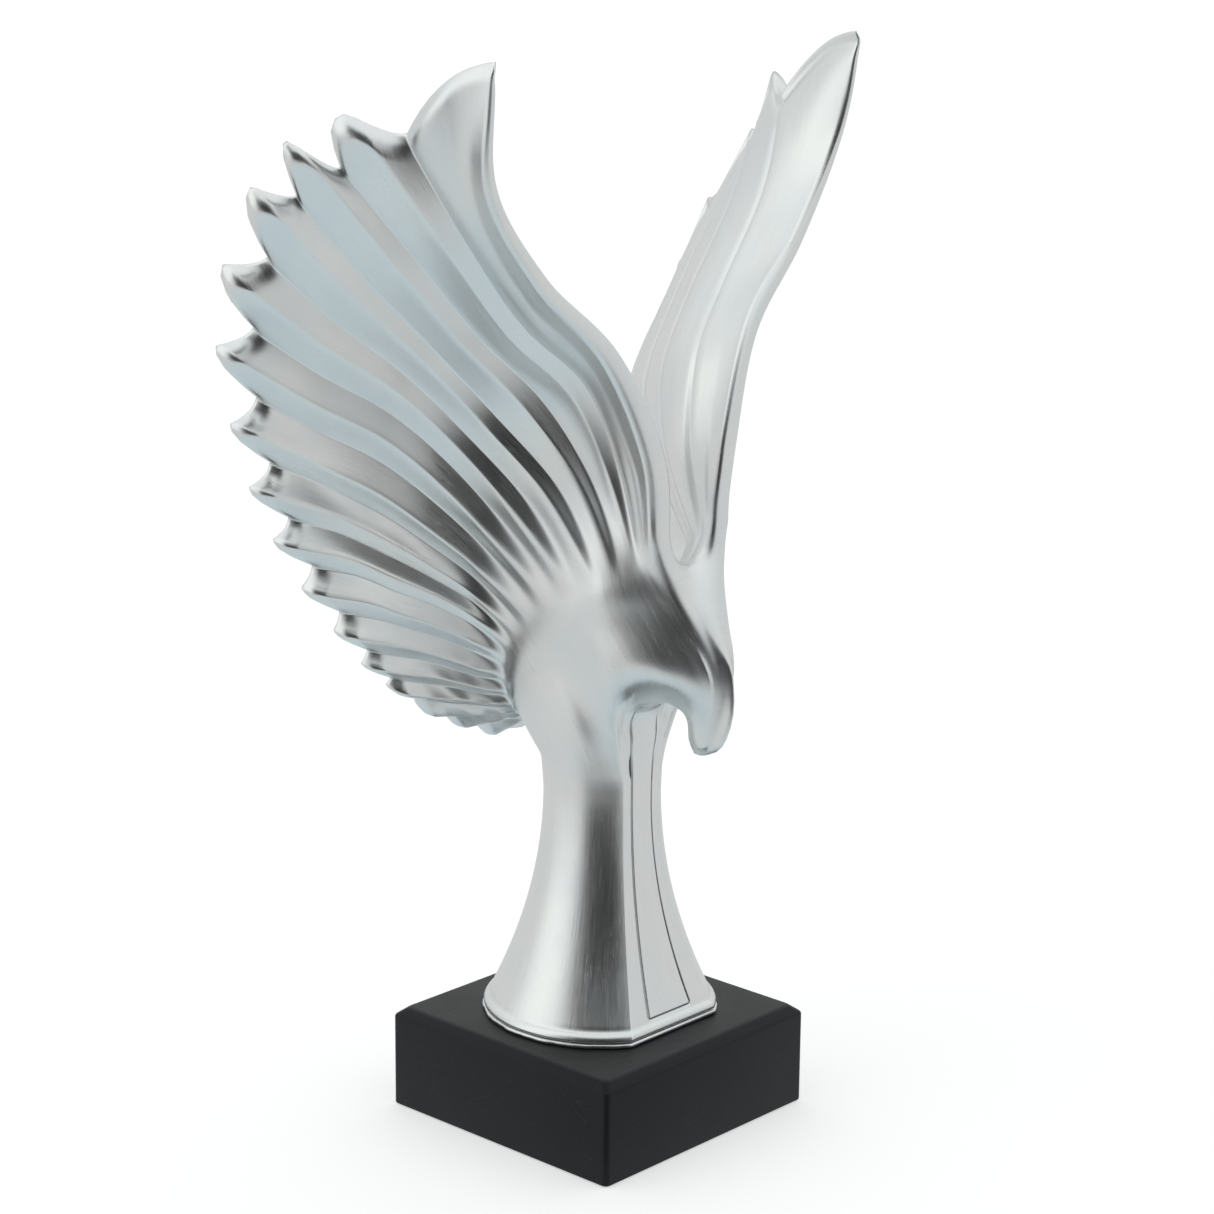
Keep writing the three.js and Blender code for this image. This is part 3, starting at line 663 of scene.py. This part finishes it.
# %% Softened lines
SOFT_LINES = [  # points of a line (right half), and the width that is rounded along it
    (OUTER[:45, 0], 3.2),
    (OUTER[45:58, 0], 1.6),
    (OUTER[JAW_COLUMN + 6:, 0], 7.0),
    (OUTER[0, :ROOT_ROW + 1], 3.0),
    (TROUGH[0], 8.0),
]
SOFT_ROUNDS = 36
HEAD_HALF, HEAD_TOP = 22, 175  # only points this near the axis and this low are softened


def soften(bm):
    """Rounds the skin along the jaw, the ridges of the head and the front of the trough."""
    bm.verts.ensure_lookup_table()
    places = np.array([v.co for v in bm.verts]) / MM
    weight = np.zeros(len(places))
    near = (np.abs(places[:, 0]) < HEAD_HALF) & (places[:, 1] < 0)
    near &= (places[:, 2] > COLUMN_TOP) & (places[:, 2] < HEAD_TOP)
    for line, width in SOFT_LINES:
        tree = KDTree(len(line))
        for k, point in enumerate(line):
            tree.insert(point, k)
        tree.balance()
        for k in np.flatnonzero(near):
            x, y, z = places[k]
            away = tree.find((abs(x), y, z))[2]
            weight[k] = max(weight[k], 1 - away / width)
    edges = np.array([[v.index for v in e.verts] for e in bm.edges])
    edges = edges[(weight[edges] > 0).any(axis=1)]
    count = np.zeros(len(places))
    np.add.at(count, edges.ravel(), 1)
    step = (0.5 * ease(0, 0.6, weight))[:, None]
    for _ in range(SOFT_ROUNDS):
        total = np.zeros_like(places)
        np.add.at(total, edges[:, 0], places[edges[:, 1]])
        np.add.at(total, edges[:, 1], places[edges[:, 0]])
        mean = total / np.maximum(count, 1)[:, None]
        places += (mean - places) * step
    for k in np.flatnonzero(weight > 0):
        bm.verts[k].co = Vector(places[k]) * MM


print("lines to soften:", len(SOFT_LINES))

# %% Build the eagle
MERGE = 2e-6
FLOW_APART = 0.3  # the grain of each grid starts this far from the last, in metres


def build_eagle():
    bm = bmesh.new()
    layer = bm.loops.layers.uv.new("flow")
    inner = np.concatenate([TROUGH, INNER[:, 1:]], axis=1)
    foot = np.vstack([FRONT[-1, ::-1][:-1], COLUMN[:, -1]])
    cap = np.stack([foot, foot * (0, 1, 1)], 1)
    grids = (OUTER, COLUMN, inner, TIP_RIM, LEAD_RIM, CROWN, FRONT, cap)
    for k, grid in enumerate(grids):
        flow = flow_of(grid, (k * FLOW_APART, 0))
        add_grid(bm, grid, layer, turned(flow) if grid is FRONT else flow)
    bmesh.ops.remove_doubles(bm, verts=bm.verts, dist=MERGE)
    geometry = bm.verts[:] + bm.edges[:] + bm.faces[:]
    bmesh.ops.mirror(bm, geom=geometry, axis="X", merge_dist=MERGE)
    bmesh.ops.remove_doubles(bm, verts=bm.verts, dist=MERGE)
    bmesh.ops.dissolve_degenerate(bm, dist=1e-6, edges=bm.edges)
    bmesh.ops.recalc_face_normals(bm, faces=bm.faces)
    soften(bm)
    mesh = bpy.data.meshes.new("eagle")
    bm.to_mesh(mesh)
    open_edges = sum(1 for e in bm.edges if len(e.link_faces) != 2)
    volume = bm.calc_volume(signed=True)
    bm.free()
    eagle = add_object("eagle", mesh)
    triangles = sum(len(p.vertices) - 2 for p in mesh.polygons)
    print("eagle:", triangles, "triangles,", open_edges, "open edges, volume",
          round(volume * 1e6, 1), "cm3")
    return eagle


eagle = build_eagle()
eagle.data.shade_smooth()
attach(eagle, "root")
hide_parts("eagle_shell")

# %% [markdown]
# ## Front panel
# A separate moulded cover closes the flat front of the hollow column. It lies in a slot with
# a fine open seam on both sides, stands slightly proud, and has softly rounded edges. It
# follows the same rows as the slot, so it is computed with the skin's own helper.

# %% Front panel
PANEL_PROFILE = [  # share of the half width, and how far in or out of the front it lies
    (0, 0.22), (0.25, 0.22), (0.5, 0.22), (0.75, 0.22), (0.9, 0.2), (0.95, 0.16),
    (0.98, 0.08), (0.995, -0.05), (1, -0.25), (1, -1.2)]
LAST_STEP = 0.75  # the panel ends this share of a row past its last row


def closed_mesh(name, rings):
    """A closed skin over rings of points in millimetres, its two ends capped."""
    bm = bmesh.new()
    layer = bm.loops.layers.uv.new("flow")
    grid = np.array(rings)
    grid = np.concatenate([grid, grid[:, :1]], axis=1)
    add_grid(bm, grid, layer, turned(flow_of(grid)))
    bmesh.ops.remove_doubles(bm, verts=bm.verts, dist=1e-6)
    bmesh.ops.holes_fill(bm, edges=bm.edges, sides=0)
    bmesh.ops.recalc_face_normals(bm, faces=bm.faces)
    mesh = bpy.data.meshes.new(name)
    bm.to_mesh(mesh)
    bm.free()
    piece = add_object(name, mesh)
    for polygon in mesh.polygons:
        polygon.use_smooth = len(polygon.vertices) == 4
    print(name, "has", len(mesh.polygons), "faces")
    return piece


def panel_ring(k):
    right = []
    for share, out in PANEL_PROFILE:
        point = front_points(k, np.array([1 - PANEL_SHARE * share]))[0]
        right.append(point + FRONT_OUT[k] * out)
    left = [p * (-1, 1, 1) for p in right[1:]]
    return np.array(right[::-1] + left)


def panel_rings():
    """Rings from the throat down, the last one close to the end of the slot."""
    rings = [panel_ring(k) for k in range(PANEL_FROM, PANEL_TO + 1)]
    rings.append(rings[-1] * (1 - LAST_STEP) + panel_ring(PANEL_TO + 1) * LAST_STEP)
    return rings


panel = closed_mesh("front_panel", panel_rings())
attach(panel, "root")
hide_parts("column_front_panel")

# %% [markdown]
# ## Foot plate
# A thin plate closes the hollow foot and shows as a narrow rim under the lip. Its edge was
# trimmed by hand, so it wanders a little.

# %% Foot plate
PLATE_LOW, PLATE_HIGH = (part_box("foot_plate")[i][2] / MM for i in (0, 1))
PLATE_RINGS = [  # share of the plate's height, and how far its edge stands proud
    (0, -0.1), (0.1, 0.25), (0.4, 0.42), (0.75, 0.38), (0.95, 0.2), (1, -0.4)]
PLATE_POINTS = 90
WANDER = 0.13  # millimetres, the slow waves of the trimmed edge
FLUTTER = 0.09  # and its small quick ones


def plate_rings():
    shares = np.linspace(0, 1, PLATE_POINTS)
    wander = WANDER * np.sin(shares * 47)
    wander += FLUTTER * np.sin(shares * 113 + 1) * np.sin(shares * 31)
    rings = []
    for level, out in PLATE_RINGS:
        ring = column_point(shares, FOOT_Z)
        ring[:, 2] = PLATE_LOW + (PLATE_HIGH - PLATE_LOW) * level
        ring = pushed_out(ring, out + wander)
        ring[-1, 0] = 0
        rings.append(np.vstack([ring, ring[-2::-1] * (-1, 1, 1)]))
    return rings


plate = closed_mesh("trimmed_foot_plate", plate_rings())
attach(plate, "root")
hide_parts("foot_plate")

# %% [markdown]
# ## Plinth
# A square wooden block with chamfered top edges and slightly rounded corners. It starts as a
# cube. The top edges are chamfered first, then the corners are rounded, and a small bevel
# softens every edge that is still sharp. The felt pocket and the stepped bolt hole are cut
# from below.

# %% Plinth block
PLINTH_LOW, PLINTH_HIGH = (Vector(corner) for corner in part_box("plinth_block"))
FELT_LOW, FELT_HIGH = (Vector(corner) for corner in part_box("base_felt"))
WASHER_LOW, WASHER_HIGH = (Vector(corner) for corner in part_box("flat_washer"))
CORNER_ROUND = 1.5 * MM
CHAMFER_IN = 2.9 * MM
CHAMFER_DOWN = 2.4 * MM
ARRIS = 0.45 * MM
FIT = 0.3 * MM
BOLT_HOLE = 3.3 * MM
POCKET_ROOM = 1 * MM
SHARP_ANGLE = math.radians(28)
SMOOTH_ANGLE = math.radians(25)


def select_edges(piece, wanted):
    """Selects the edges whose two end points satisfy the test, in edit mode."""
    bpy.ops.object.mode_set(mode="OBJECT")
    mesh = piece.data
    for element in (mesh.vertices, mesh.edges, mesh.polygons):
        for item in element:
            item.select = False
    for edge in mesh.edges:
        a, b = (mesh.vertices[i].co for i in edge.vertices)
        edge.select = bool(wanted(a, b))
    bpy.ops.object.mode_set(mode="EDIT")
    bpy.ops.mesh.select_mode(type="EDGE")


def pick(piece):
    """Selects one piece alone and makes it the active one."""
    bpy.ops.object.select_all(action="DESELECT")
    bpy.context.view_layer.objects.active = piece
    piece.select_set(True)


def start_piece(name):
    """Names the new primitive and bakes its place into its mesh."""
    piece = bpy.context.object
    piece.name = piece.data.name = name
    bpy.ops.object.transform_apply(location=True, rotation=True, scale=True)
    return piece


def add_block(name, low, high):
    bpy.ops.object.select_all(action="DESELECT")
    bpy.ops.mesh.primitive_cube_add(size=1, location=(low + high) / 2, scale=high - low)
    return start_piece(name)


def add_rod(name, radius, low, high):
    bpy.ops.object.select_all(action="DESELECT")
    bpy.ops.mesh.primitive_cylinder_add(
        vertices=64, radius=radius, depth=high - low, location=(0, 0, (low + high) / 2))
    return start_piece(name)


def apply_modifier(piece, kind, **settings):
    """Adds one modifier with its settings and applies it."""
    modifier = piece.modifiers.new(kind.title(), kind)
    for key, value in settings.items():
        setattr(modifier, key, value)
    pick(piece)
    bpy.ops.object.modifier_apply(modifier=modifier.name)


def cut(piece, cutter):
    apply_modifier(piece, "BOOLEAN", operation="DIFFERENCE", solver="EXACT", object=cutter)
    bpy.data.objects.remove(cutter)


print("plinth is", [round(v, 4) for v in PLINTH_HIGH - PLINTH_LOW], "m")

# %% Make the plinth


def make_plinth():
    block = add_block("plinth", PLINTH_LOW, PLINTH_HIGH)
    top = PLINTH_HIGH.z - 0.01 * MM
    select_edges(block, lambda a, b: a.z > top and b.z > top)
    bpy.ops.mesh.bevel(offset=CHAMFER_DOWN, segments=1)
    bpy.ops.object.mode_set(mode="OBJECT")
    for vertex in block.data.vertices:
        if vertex.co.z > top:
            for axis in (0, 1):
                side = PLINTH_HIGH[axis] - CHAMFER_IN
                vertex.co[axis] = math.copysign(side, vertex.co[axis])
    select_edges(block, lambda a, b: abs(a.z - b.z) > MM and abs(abs(a.x) - abs(a.y)) < 1e-6
                 and abs(a.x - b.x) < 2 * CHAMFER_IN)
    bpy.ops.mesh.bevel(offset=CORNER_ROUND, segments=5)
    bpy.ops.object.mode_set(mode="OBJECT")
    apply_modifier(block, "BEVEL", width=ARRIS, segments=3, limit_method="ANGLE",
                   angle_limit=SHARP_ANGLE)
    room = Vector((FIT, FIT, 0))
    cut(block, add_block("felt_cutter", FELT_LOW - room - Vector((0, 0, MM)),
                         FELT_HIGH + room + Vector((0, 0, FIT))))
    washer_radius = (WASHER_HIGH.x - WASHER_LOW.x) / 2
    cut(block, add_rod("pocket_cutter", washer_radius + POCKET_ROOM, -MM, WASHER_HIGH.z + FIT))
    cut(block, add_rod("bolt_cutter", BOLT_HOLE, -MM, PLINTH_HIGH.z + MM))
    pick(block)
    bpy.ops.object.shade_smooth_by_angle(angle=SMOOTH_ANGLE)
    return block


plinth = make_plinth()
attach(plinth, "root")
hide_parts("plinth_block")
print("plinth faces:", len(plinth.data.polygons))

# %% [markdown]
# ## Shared surface effects
# Three small node groups make the masks that the finishes share: fine brushed grain that
# follows the flow of a surface, thin random scratches, and dust. Each gives plain values, so
# a material mixes them into its own colour, roughness and bump.

# %% Node helpers


def new_material(name):
    material = bpy.data.materials.new(name)
    material.use_nodes = True
    tree = material.node_tree
    return material, tree, tree.nodes["Principled BSDF"]


def feed(tree, socket, value):
    """Sets a socket to a number or colour, or links another node's output to it."""
    if isinstance(value, bpy.types.NodeSocket):
        tree.links.new(value, socket)
    else:
        socket.default_value = value


def calc(tree, operation, a, b=0.0, clamp=False):
    node = tree.nodes.new("ShaderNodeMath")
    node.operation = operation
    node.use_clamp = clamp
    feed(tree, node.inputs[0], a)
    feed(tree, node.inputs[1], b)
    return node.outputs[0]


def plus(tree, a, b, share):
    """a and a share of b."""
    return calc(tree, "ADD", a, calc(tree, "MULTIPLY", b, share))


def noise(tree, place, scale, detail=3.0, rough=0.5):
    node = tree.nodes.new("ShaderNodeTexNoise")
    feed(tree, node.inputs["Vector"], place)
    node.inputs["Scale"].default_value = scale
    node.inputs["Detail"].default_value = detail
    node.inputs["Roughness"].default_value = rough
    return node.outputs["Fac"]


def stretched(tree, place, scale, turn=0.0):
    """The same place, turned about Z and stretched by a scale on each axis."""
    node = tree.nodes.new("ShaderNodeMapping")
    feed(tree, node.inputs["Vector"], place)
    node.inputs["Scale"].default_value = scale
    node.inputs["Rotation"].default_value = (0, 0, turn)
    return node.outputs["Vector"]


def between(tree, value, low, high, to_low=0.0, to_high=1.0):
    """Smooth step of a value from low to high, put out as to_low to to_high."""
    node = tree.nodes.new("ShaderNodeMapRange")
    node.interpolation_type = "SMOOTHSTEP"
    feed(tree, node.inputs["Value"], value)
    for name, number in zip(("From Min", "From Max", "To Min", "To Max"),
                            (low, high, to_low, to_high)):
        node.inputs[name].default_value = number
    return node.outputs[0]


def blend(tree, factor, a, b):
    node = tree.nodes.new("ShaderNodeMix")
    node.data_type = "RGBA"
    feed(tree, node.inputs["Factor"], factor)
    feed(tree, node.inputs["A"], a)
    feed(tree, node.inputs["B"], b)
    return node.outputs["Result"]


def dress(tree, shader, colour, rough, height, depth):
    """Gives a shader its colour, its roughness, and a bump with a depth in metres."""
    feed(tree, shader.inputs["Base Color"], colour)
    feed(tree, shader.inputs["Roughness"], rough)
    bump = tree.nodes.new("ShaderNodeBump")
    bump.inputs["Distance"].default_value = depth
    feed(tree, bump.inputs["Height"], height)
    tree.links.new(bump.outputs["Normal"], shader.inputs["Normal"])


def object_place(tree):
    return tree.nodes.new("ShaderNodeTexCoord").outputs["Object"]


# %% Shared node groups


def start_group(name):
    """A group with one place going in and one value coming out."""
    group = bpy.data.node_groups.new(name, "ShaderNodeTree")
    group.interface.new_socket("Place", in_out="INPUT", socket_type="NodeSocketVector")
    group.interface.new_socket("Value", in_out="OUTPUT", socket_type="NodeSocketFloat")
    place = group.nodes.new("NodeGroupInput").outputs["Place"]
    return group, place


def end_group(group, value):
    group.links.new(value, group.nodes.new("NodeGroupOutput").inputs["Value"])
    return group


def make_grain():
    """Brushed grain: noise drawn out along the second axis of the place, in two sizes."""
    group, place = start_group("brushed_grain")
    fine = noise(group, stretched(group, place, (5200, 110, 1)), 1, 2)
    coarse = noise(group, stretched(group, place, (1500, 45, 1)), 1, 3)
    patches = noise(group, stretched(group, place, (160, 60, 1)), 1, 2)
    lines = plus(group, calc(group, "MULTIPLY", fine, 0.6), coarse, 0.4)
    swing = calc(group, "SUBTRACT", lines, 0.5)
    strength = between(group, patches, 0.3, 0.7, 0.5, 1.3)
    return end_group(group, plus(group, 0.5, swing, strength))


def make_scratches():
    """Thin bright lines: narrow bands of stretched noise at three angles, in patches."""
    group, place = start_group("fine_scratches")
    total = 0.0
    for turn, scale in ((0.7, 150), (-0.5, 210), (1.9, 120)):
        drawn_out = stretched(group, place, (scale * 14, scale * 0.35, scale), turn)
        lines = calc(group, "SUBTRACT", noise(group, drawn_out, 1, 1), 0.5)
        thin = between(group, calc(group, "ABSOLUTE", lines), 0.004, 0.0)
        where = noise(group, stretched(group, place, (90, 90, 90), turn), 1, 2)
        total = plus(group, total, thin, between(group, where, 0.52, 0.62))
    return end_group(group, calc(group, "MINIMUM", total, 1.0))


def make_dust():
    """Sparse pale specks with soft edges."""
    group, place = start_group("dust")
    node = group.nodes.new("ShaderNodeTexVoronoi")
    group.links.new(place, node.inputs["Vector"])
    node.inputs["Scale"].default_value = 420
    specks = between(group, node.outputs["Distance"], 0.11, 0.05)
    keep = between(group, noise(group, place, 260, 2), 0.6, 0.66)
    return end_group(group, calc(group, "MULTIPLY", specks, keep))


GRAIN, SCRATCHES, DUST = make_grain(), make_scratches(), make_dust()
print("node groups:", [group.name for group in (GRAIN, SCRATCHES, DUST)])


def mask(tree, group, place):
    node = tree.nodes.new("ShaderNodeGroup")
    node.node_tree = group
    feed(tree, node.inputs["Place"], place)
    return node.outputs["Value"]


# %% [markdown]
# ## Satin silver
# Vacuum-metallised plastic: a bright metal skin with a fine brushed grain that follows the
# flow of the surface, faint scratches, and clouds of a slightly cooler tone.

# %% Silver
SILVER_WARM = (0.80, 0.81, 0.80, 1)
SILVER_COOL = (0.78, 0.805, 0.815, 1)
SILVER_WORN = (0.70, 0.69, 0.67, 1)
GRAIN_DEPTH = 0.03 * MM


def make_silver():
    material, tree, shader = new_material("satin_silver")
    flow = tree.nodes.new("ShaderNodeUVMap")
    flow.uv_map = "flow"
    place = object_place(tree)
    grain = mask(tree, GRAIN, flow.outputs["UV"])
    scratches = mask(tree, SCRATCHES, flow.outputs["UV"])
    clouds = noise(tree, place, 45, 4)
    colour = blend(tree, between(tree, clouds, 0.35, 0.65), SILVER_WARM, SILVER_COOL)
    colour = blend(tree, between(tree, grain, 0.62, 0.2, 0, 0.55), colour, SILVER_WORN)
    shader.inputs["Metallic"].default_value = 1
    rough = between(tree, grain, 0.2, 0.8, 0.25, 0.37)
    rough = plus(tree, rough, scratches, 0.08)
    rough = calc(tree, "ADD", rough, between(tree, clouds, 0.3, 0.7, -0.02, 0.03), True)
    height = calc(tree, "SUBTRACT", grain, calc(tree, "MULTIPLY", scratches, 0.25))
    dress(tree, shader, colour, rough, height, GRAIN_DEPTH)
    return material


silver = make_silver()
for piece in (eagle, panel, plate):
    piece.data.materials.append(silver)
print(silver.name, "has", len(silver.node_tree.nodes), "nodes")

# %% [markdown]
# ## Black lacquer
# Sprayed lacquer over wood: a soft sheen with orange peel, faint open pores that run along
# the block, fine scratches, and a few specks of dust on the flat top. The flat top is also
# painted a lighter grey, as painted light from above.

# %% Lacquer
LACQUER_BLACK = (0.0042, 0.0052, 0.0078, 1)
LACQUER_GREY = (0.0075, 0.009, 0.0125, 1)
PAINTED_TOP_LIGHT_GREY = (0.034, 0.034, 0.035, 1)  # painted light: the flat top is painted a lighter grey, as if lit from above
DUST_GREY = (0.16, 0.17, 0.18, 1)
PEEL_DEPTH = 0.05 * MM
# Heights of the flat top's band, which gets the painted lighter top and the dust specks.
TOP_BAND_LOW, TOP_BAND_HIGH = PLINTH_HIGH.z - 0.6 * MM, PLINTH_HIGH.z - 0.1 * MM


def make_lacquer():
    material, tree, shader = new_material("black_lacquer")
    place = object_place(tree)
    pores = noise(tree, stretched(tree, place, (90, 1800, 1500)), 1, 3)
    peel = noise(tree, place, 900, 2)
    clouds = noise(tree, place, 60, 3)
    colour = blend(tree, between(tree, clouds, 0.3, 0.7), LACQUER_BLACK, LACQUER_GREY)
    axes = tree.nodes.new("ShaderNodeSeparateXYZ")
    tree.links.new(place, axes.inputs[0])
    on_top = between(tree, axes.outputs["Z"], TOP_BAND_LOW, TOP_BAND_HIGH)
    # Painted light: the flat top is blended in clouds towards a lighter grey, as if lit from
    # above.
    painted_top_light = calc(tree, "MULTIPLY", on_top, between(tree, clouds, 0.2, 0.8, 0.6, 1))
    colour = blend(tree, painted_top_light, colour, PAINTED_TOP_LIGHT_GREY)
    dust = calc(tree, "MULTIPLY", mask(tree, DUST, place), on_top)
    colour = blend(tree, calc(tree, "MULTIPLY", dust, 0.7), colour, DUST_GREY)
    scratches = mask(tree, SCRATCHES, place)
    colour = blend(tree, calc(tree, "MULTIPLY", scratches, 0.12), colour, DUST_GREY)
    shader.inputs["Specular IOR Level"].default_value = 0.22
    rough = between(tree, clouds, 0.3, 0.7, 0.4, 0.5)
    rough = plus(tree, rough, scratches, 0.15)
    rough = calc(tree, "MAXIMUM", rough, calc(tree, "MULTIPLY", dust, 0.9))
    height = plus(tree, between(tree, pores, 0.3, 0.45, 0, 0.5), peel, 0.5)
    dress(tree, shader, colour, rough, height, PEEL_DEPTH)
    return material


lacquer = make_lacquer()
plinth.data.materials.clear()
plinth.data.materials.append(lacquer)
print(lacquer.name, "has", len(lacquer.node_tree.nodes), "nodes")

# %% [markdown]
# ## Felt, brass and zinc steel
# The pieces under the plinth keep their CAD shape and get their finish through their slots.

# %% Felt and hardware
FELT_DARK = (0.006, 0.006, 0.007, 1)
FELT_PALE = (0.035, 0.036, 0.04, 1)
NAP_DEPTH = 0.3 * MM
TURNED_DEPTH = 0.02 * MM


def make_felt():
    material, tree, shader = new_material("black_felt")
    place = object_place(tree)
    fibres = noise(tree, stretched(tree, place, (5200, 1500, 3000), 0.6), 1, 5, 0.7)
    across = noise(tree, stretched(tree, place, (1600, 4800, 3000), -0.4), 1, 5, 0.7)
    nap = calc(tree, "MAXIMUM", fibres, across)
    colour = blend(tree, between(tree, nap, 0.45, 0.75), FELT_DARK, FELT_PALE)
    colour = blend(tree, calc(tree, "MULTIPLY", mask(tree, DUST, place), 0.6), colour, DUST_GREY)
    shader.inputs["Sheen Weight"].default_value = 0.25
    rough = between(tree, nap, 0.3, 0.8, 1.0, 0.85)
    dress(tree, shader, colour, rough, nap, NAP_DEPTH)
    return material


def make_hardware(name, bright, dull, roughness):
    """A turned metal finish: rings round the upright axis, cloudy oxide and scratches."""
    material, tree, shader = new_material(name)
    place = object_place(tree)
    rings = tree.nodes.new("ShaderNodeTexWave")
    rings.wave_type = "RINGS"
    rings.rings_direction = "Z"
    tree.links.new(place, rings.inputs["Vector"])
    rings.inputs["Scale"].default_value = 900
    rings.inputs["Distortion"].default_value = 1.5
    clouds = noise(tree, place, 380, 4)
    scratches = mask(tree, SCRATCHES, place)
    colour = blend(tree, between(tree, clouds, 0.35, 0.7), bright, dull)
    shader.inputs["Metallic"].default_value = 1
    rough = plus(tree, roughness, clouds, 0.18)
    rough = plus(tree, rough, scratches, 0.15)
    height = calc(tree, "ADD", rings.outputs["Fac"], scratches)
    dress(tree, shader, colour, rough, height, TURNED_DEPTH)
    return material


felt = make_felt()
brass = make_hardware("insert_brass", (0.72, 0.53, 0.24, 1), (0.42, 0.30, 0.13, 1), 0.25)
zinc = make_hardware("zinc_steel", (0.58, 0.60, 0.62, 1), (0.38, 0.40, 0.42, 1), 0.3)
FINISHES = {"base_felt": felt, "threaded_insert": brass, "clamp_bolt": zinc,
            "flat_washer": zinc, "spring_washer": zinc}
for name, finish in FINISHES.items():
    nodes[name].material_slots[0].material = finish
print("finishes:", {name: finish.name for name, finish in FINISHES.items()})

# %% [markdown]
# ## Studio
# Polished metal shows the room around it, so the room does the shading. It is a pale world
# with one soft dark side behind the camera and a bright box beside it, and needs no lamps.
# The camera itself sees white. The pale floor glows a little and stays out of reflections.

# %% World
scene.view_settings.view_transform = "Standard"
LOW_COLOUR = (0.66, 0.76, 0.80, 1)
MIDDLE_COLOUR = (0.74, 0.755, 0.75, 1)
HIGH_COLOUR = (0.93, 0.97, 0.97, 1)
DARK_COLOUR = (0.035, 0.035, 0.036, 1)
BOX_COLOUR = (1.15, 1.18, 1.16, 1)
WHITE = (1, 1, 1, 1)
LOW_TO_MIDDLE = (-58, -30)  # degrees above the horizon, as all heights here
MIDDLE_TO_HIGH = (5, 45)
DARK_AZIMUTH, DARK_HALF, DARK_SOFT = -137, 39, 10
DARK_TOP, TOP_SOFT = 42, 14
DARK_BOTTOM, BOTTOM_SOFT = -26, 7
BOX_AZIMUTH = 152
BOX_SIDE = (30, 14)
BOX_RISE = (-22, 5)


def angle_from(tree, azimuth, centre):
    """How far the azimuth is from a centre, in degrees, whichever way round."""
    wrapped = calc(tree, "WRAP", calc(tree, "SUBTRACT", azimuth, centre), 180)
    wrapped.node.inputs[2].default_value = -180
    return calc(tree, "ABSOLUTE", wrapped)


def add_world():
    world = bpy.data.worlds.new("studio")
    world.use_nodes = True
    scene.world = world
    tree = world.node_tree
    tree.nodes.clear()
    make = tree.nodes.new
    axes = make("ShaderNodeSeparateXYZ")
    feed(tree, axes.inputs[0], make("ShaderNodeTexCoord").outputs["Generated"])
    x, y, z = axes.outputs
    height = calc(tree, "MULTIPLY", calc(tree, "ARCSINE", z), 180 / math.pi)
    azimuth = calc(tree, "MULTIPLY", calc(tree, "ARCTAN2", y, x), 180 / math.pi)
    room = blend(tree, between(tree, height, *LOW_TO_MIDDLE), LOW_COLOUR, MIDDLE_COLOUR)
    room = blend(tree, between(tree, height, *MIDDLE_TO_HIGH), room, HIGH_COLOUR)
    side = between(tree, angle_from(tree, azimuth, DARK_AZIMUTH),
                   DARK_HALF + DARK_SOFT, DARK_HALF - DARK_SOFT)
    above = between(tree, height, DARK_TOP + TOP_SOFT, DARK_TOP - TOP_SOFT)
    below = between(tree, height, DARK_BOTTOM - BOTTOM_SOFT, DARK_BOTTOM + BOTTOM_SOFT)
    dark = calc(tree, "MULTIPLY", side, calc(tree, "MULTIPLY", above, below))
    room = blend(tree, dark, room, DARK_COLOUR)
    box = between(tree, angle_from(tree, azimuth, BOX_AZIMUTH), *BOX_SIDE)
    box = calc(tree, "MULTIPLY", box, between(tree, height, *BOX_RISE))
    room = blend(tree, box, room, BOX_COLOUR)
    camera_ray = make("ShaderNodeLightPath").outputs["Is Camera Ray"]
    background = make("ShaderNodeBackground")
    feed(tree, background.inputs["Color"], blend(tree, camera_ray, room, WHITE))
    feed(tree, make("ShaderNodeOutputWorld").inputs["Surface"], background.outputs[0])
    return tree


print("the world has", len(add_world().nodes), "nodes")

# %% Floor
FLOOR_SIDE = 80
FLOOR_GREY = (0.62, 0.62, 0.62, 1)
FLOOR_GLOW = 0.5


def add_floor():
    mesh = bpy.data.meshes.new("floor")
    h = FLOOR_SIDE / 2
    mesh.from_pydata([(-h, -h, 0), (h, -h, 0), (h, h, 0), (-h, h, 0)], [], [(0, 1, 2, 3)])
    floor = add_object("floor", mesh)
    material, _, shader = new_material("pale_floor")
    shader.inputs["Base Color"].default_value = FLOOR_GREY
    shader.inputs["Roughness"].default_value = 0.9
    shader.inputs["Emission Color"].default_value = WHITE
    shader.inputs["Emission Strength"].default_value = FLOOR_GLOW
    mesh.materials.append(material)
    floor.visible_glossy = False


add_floor()
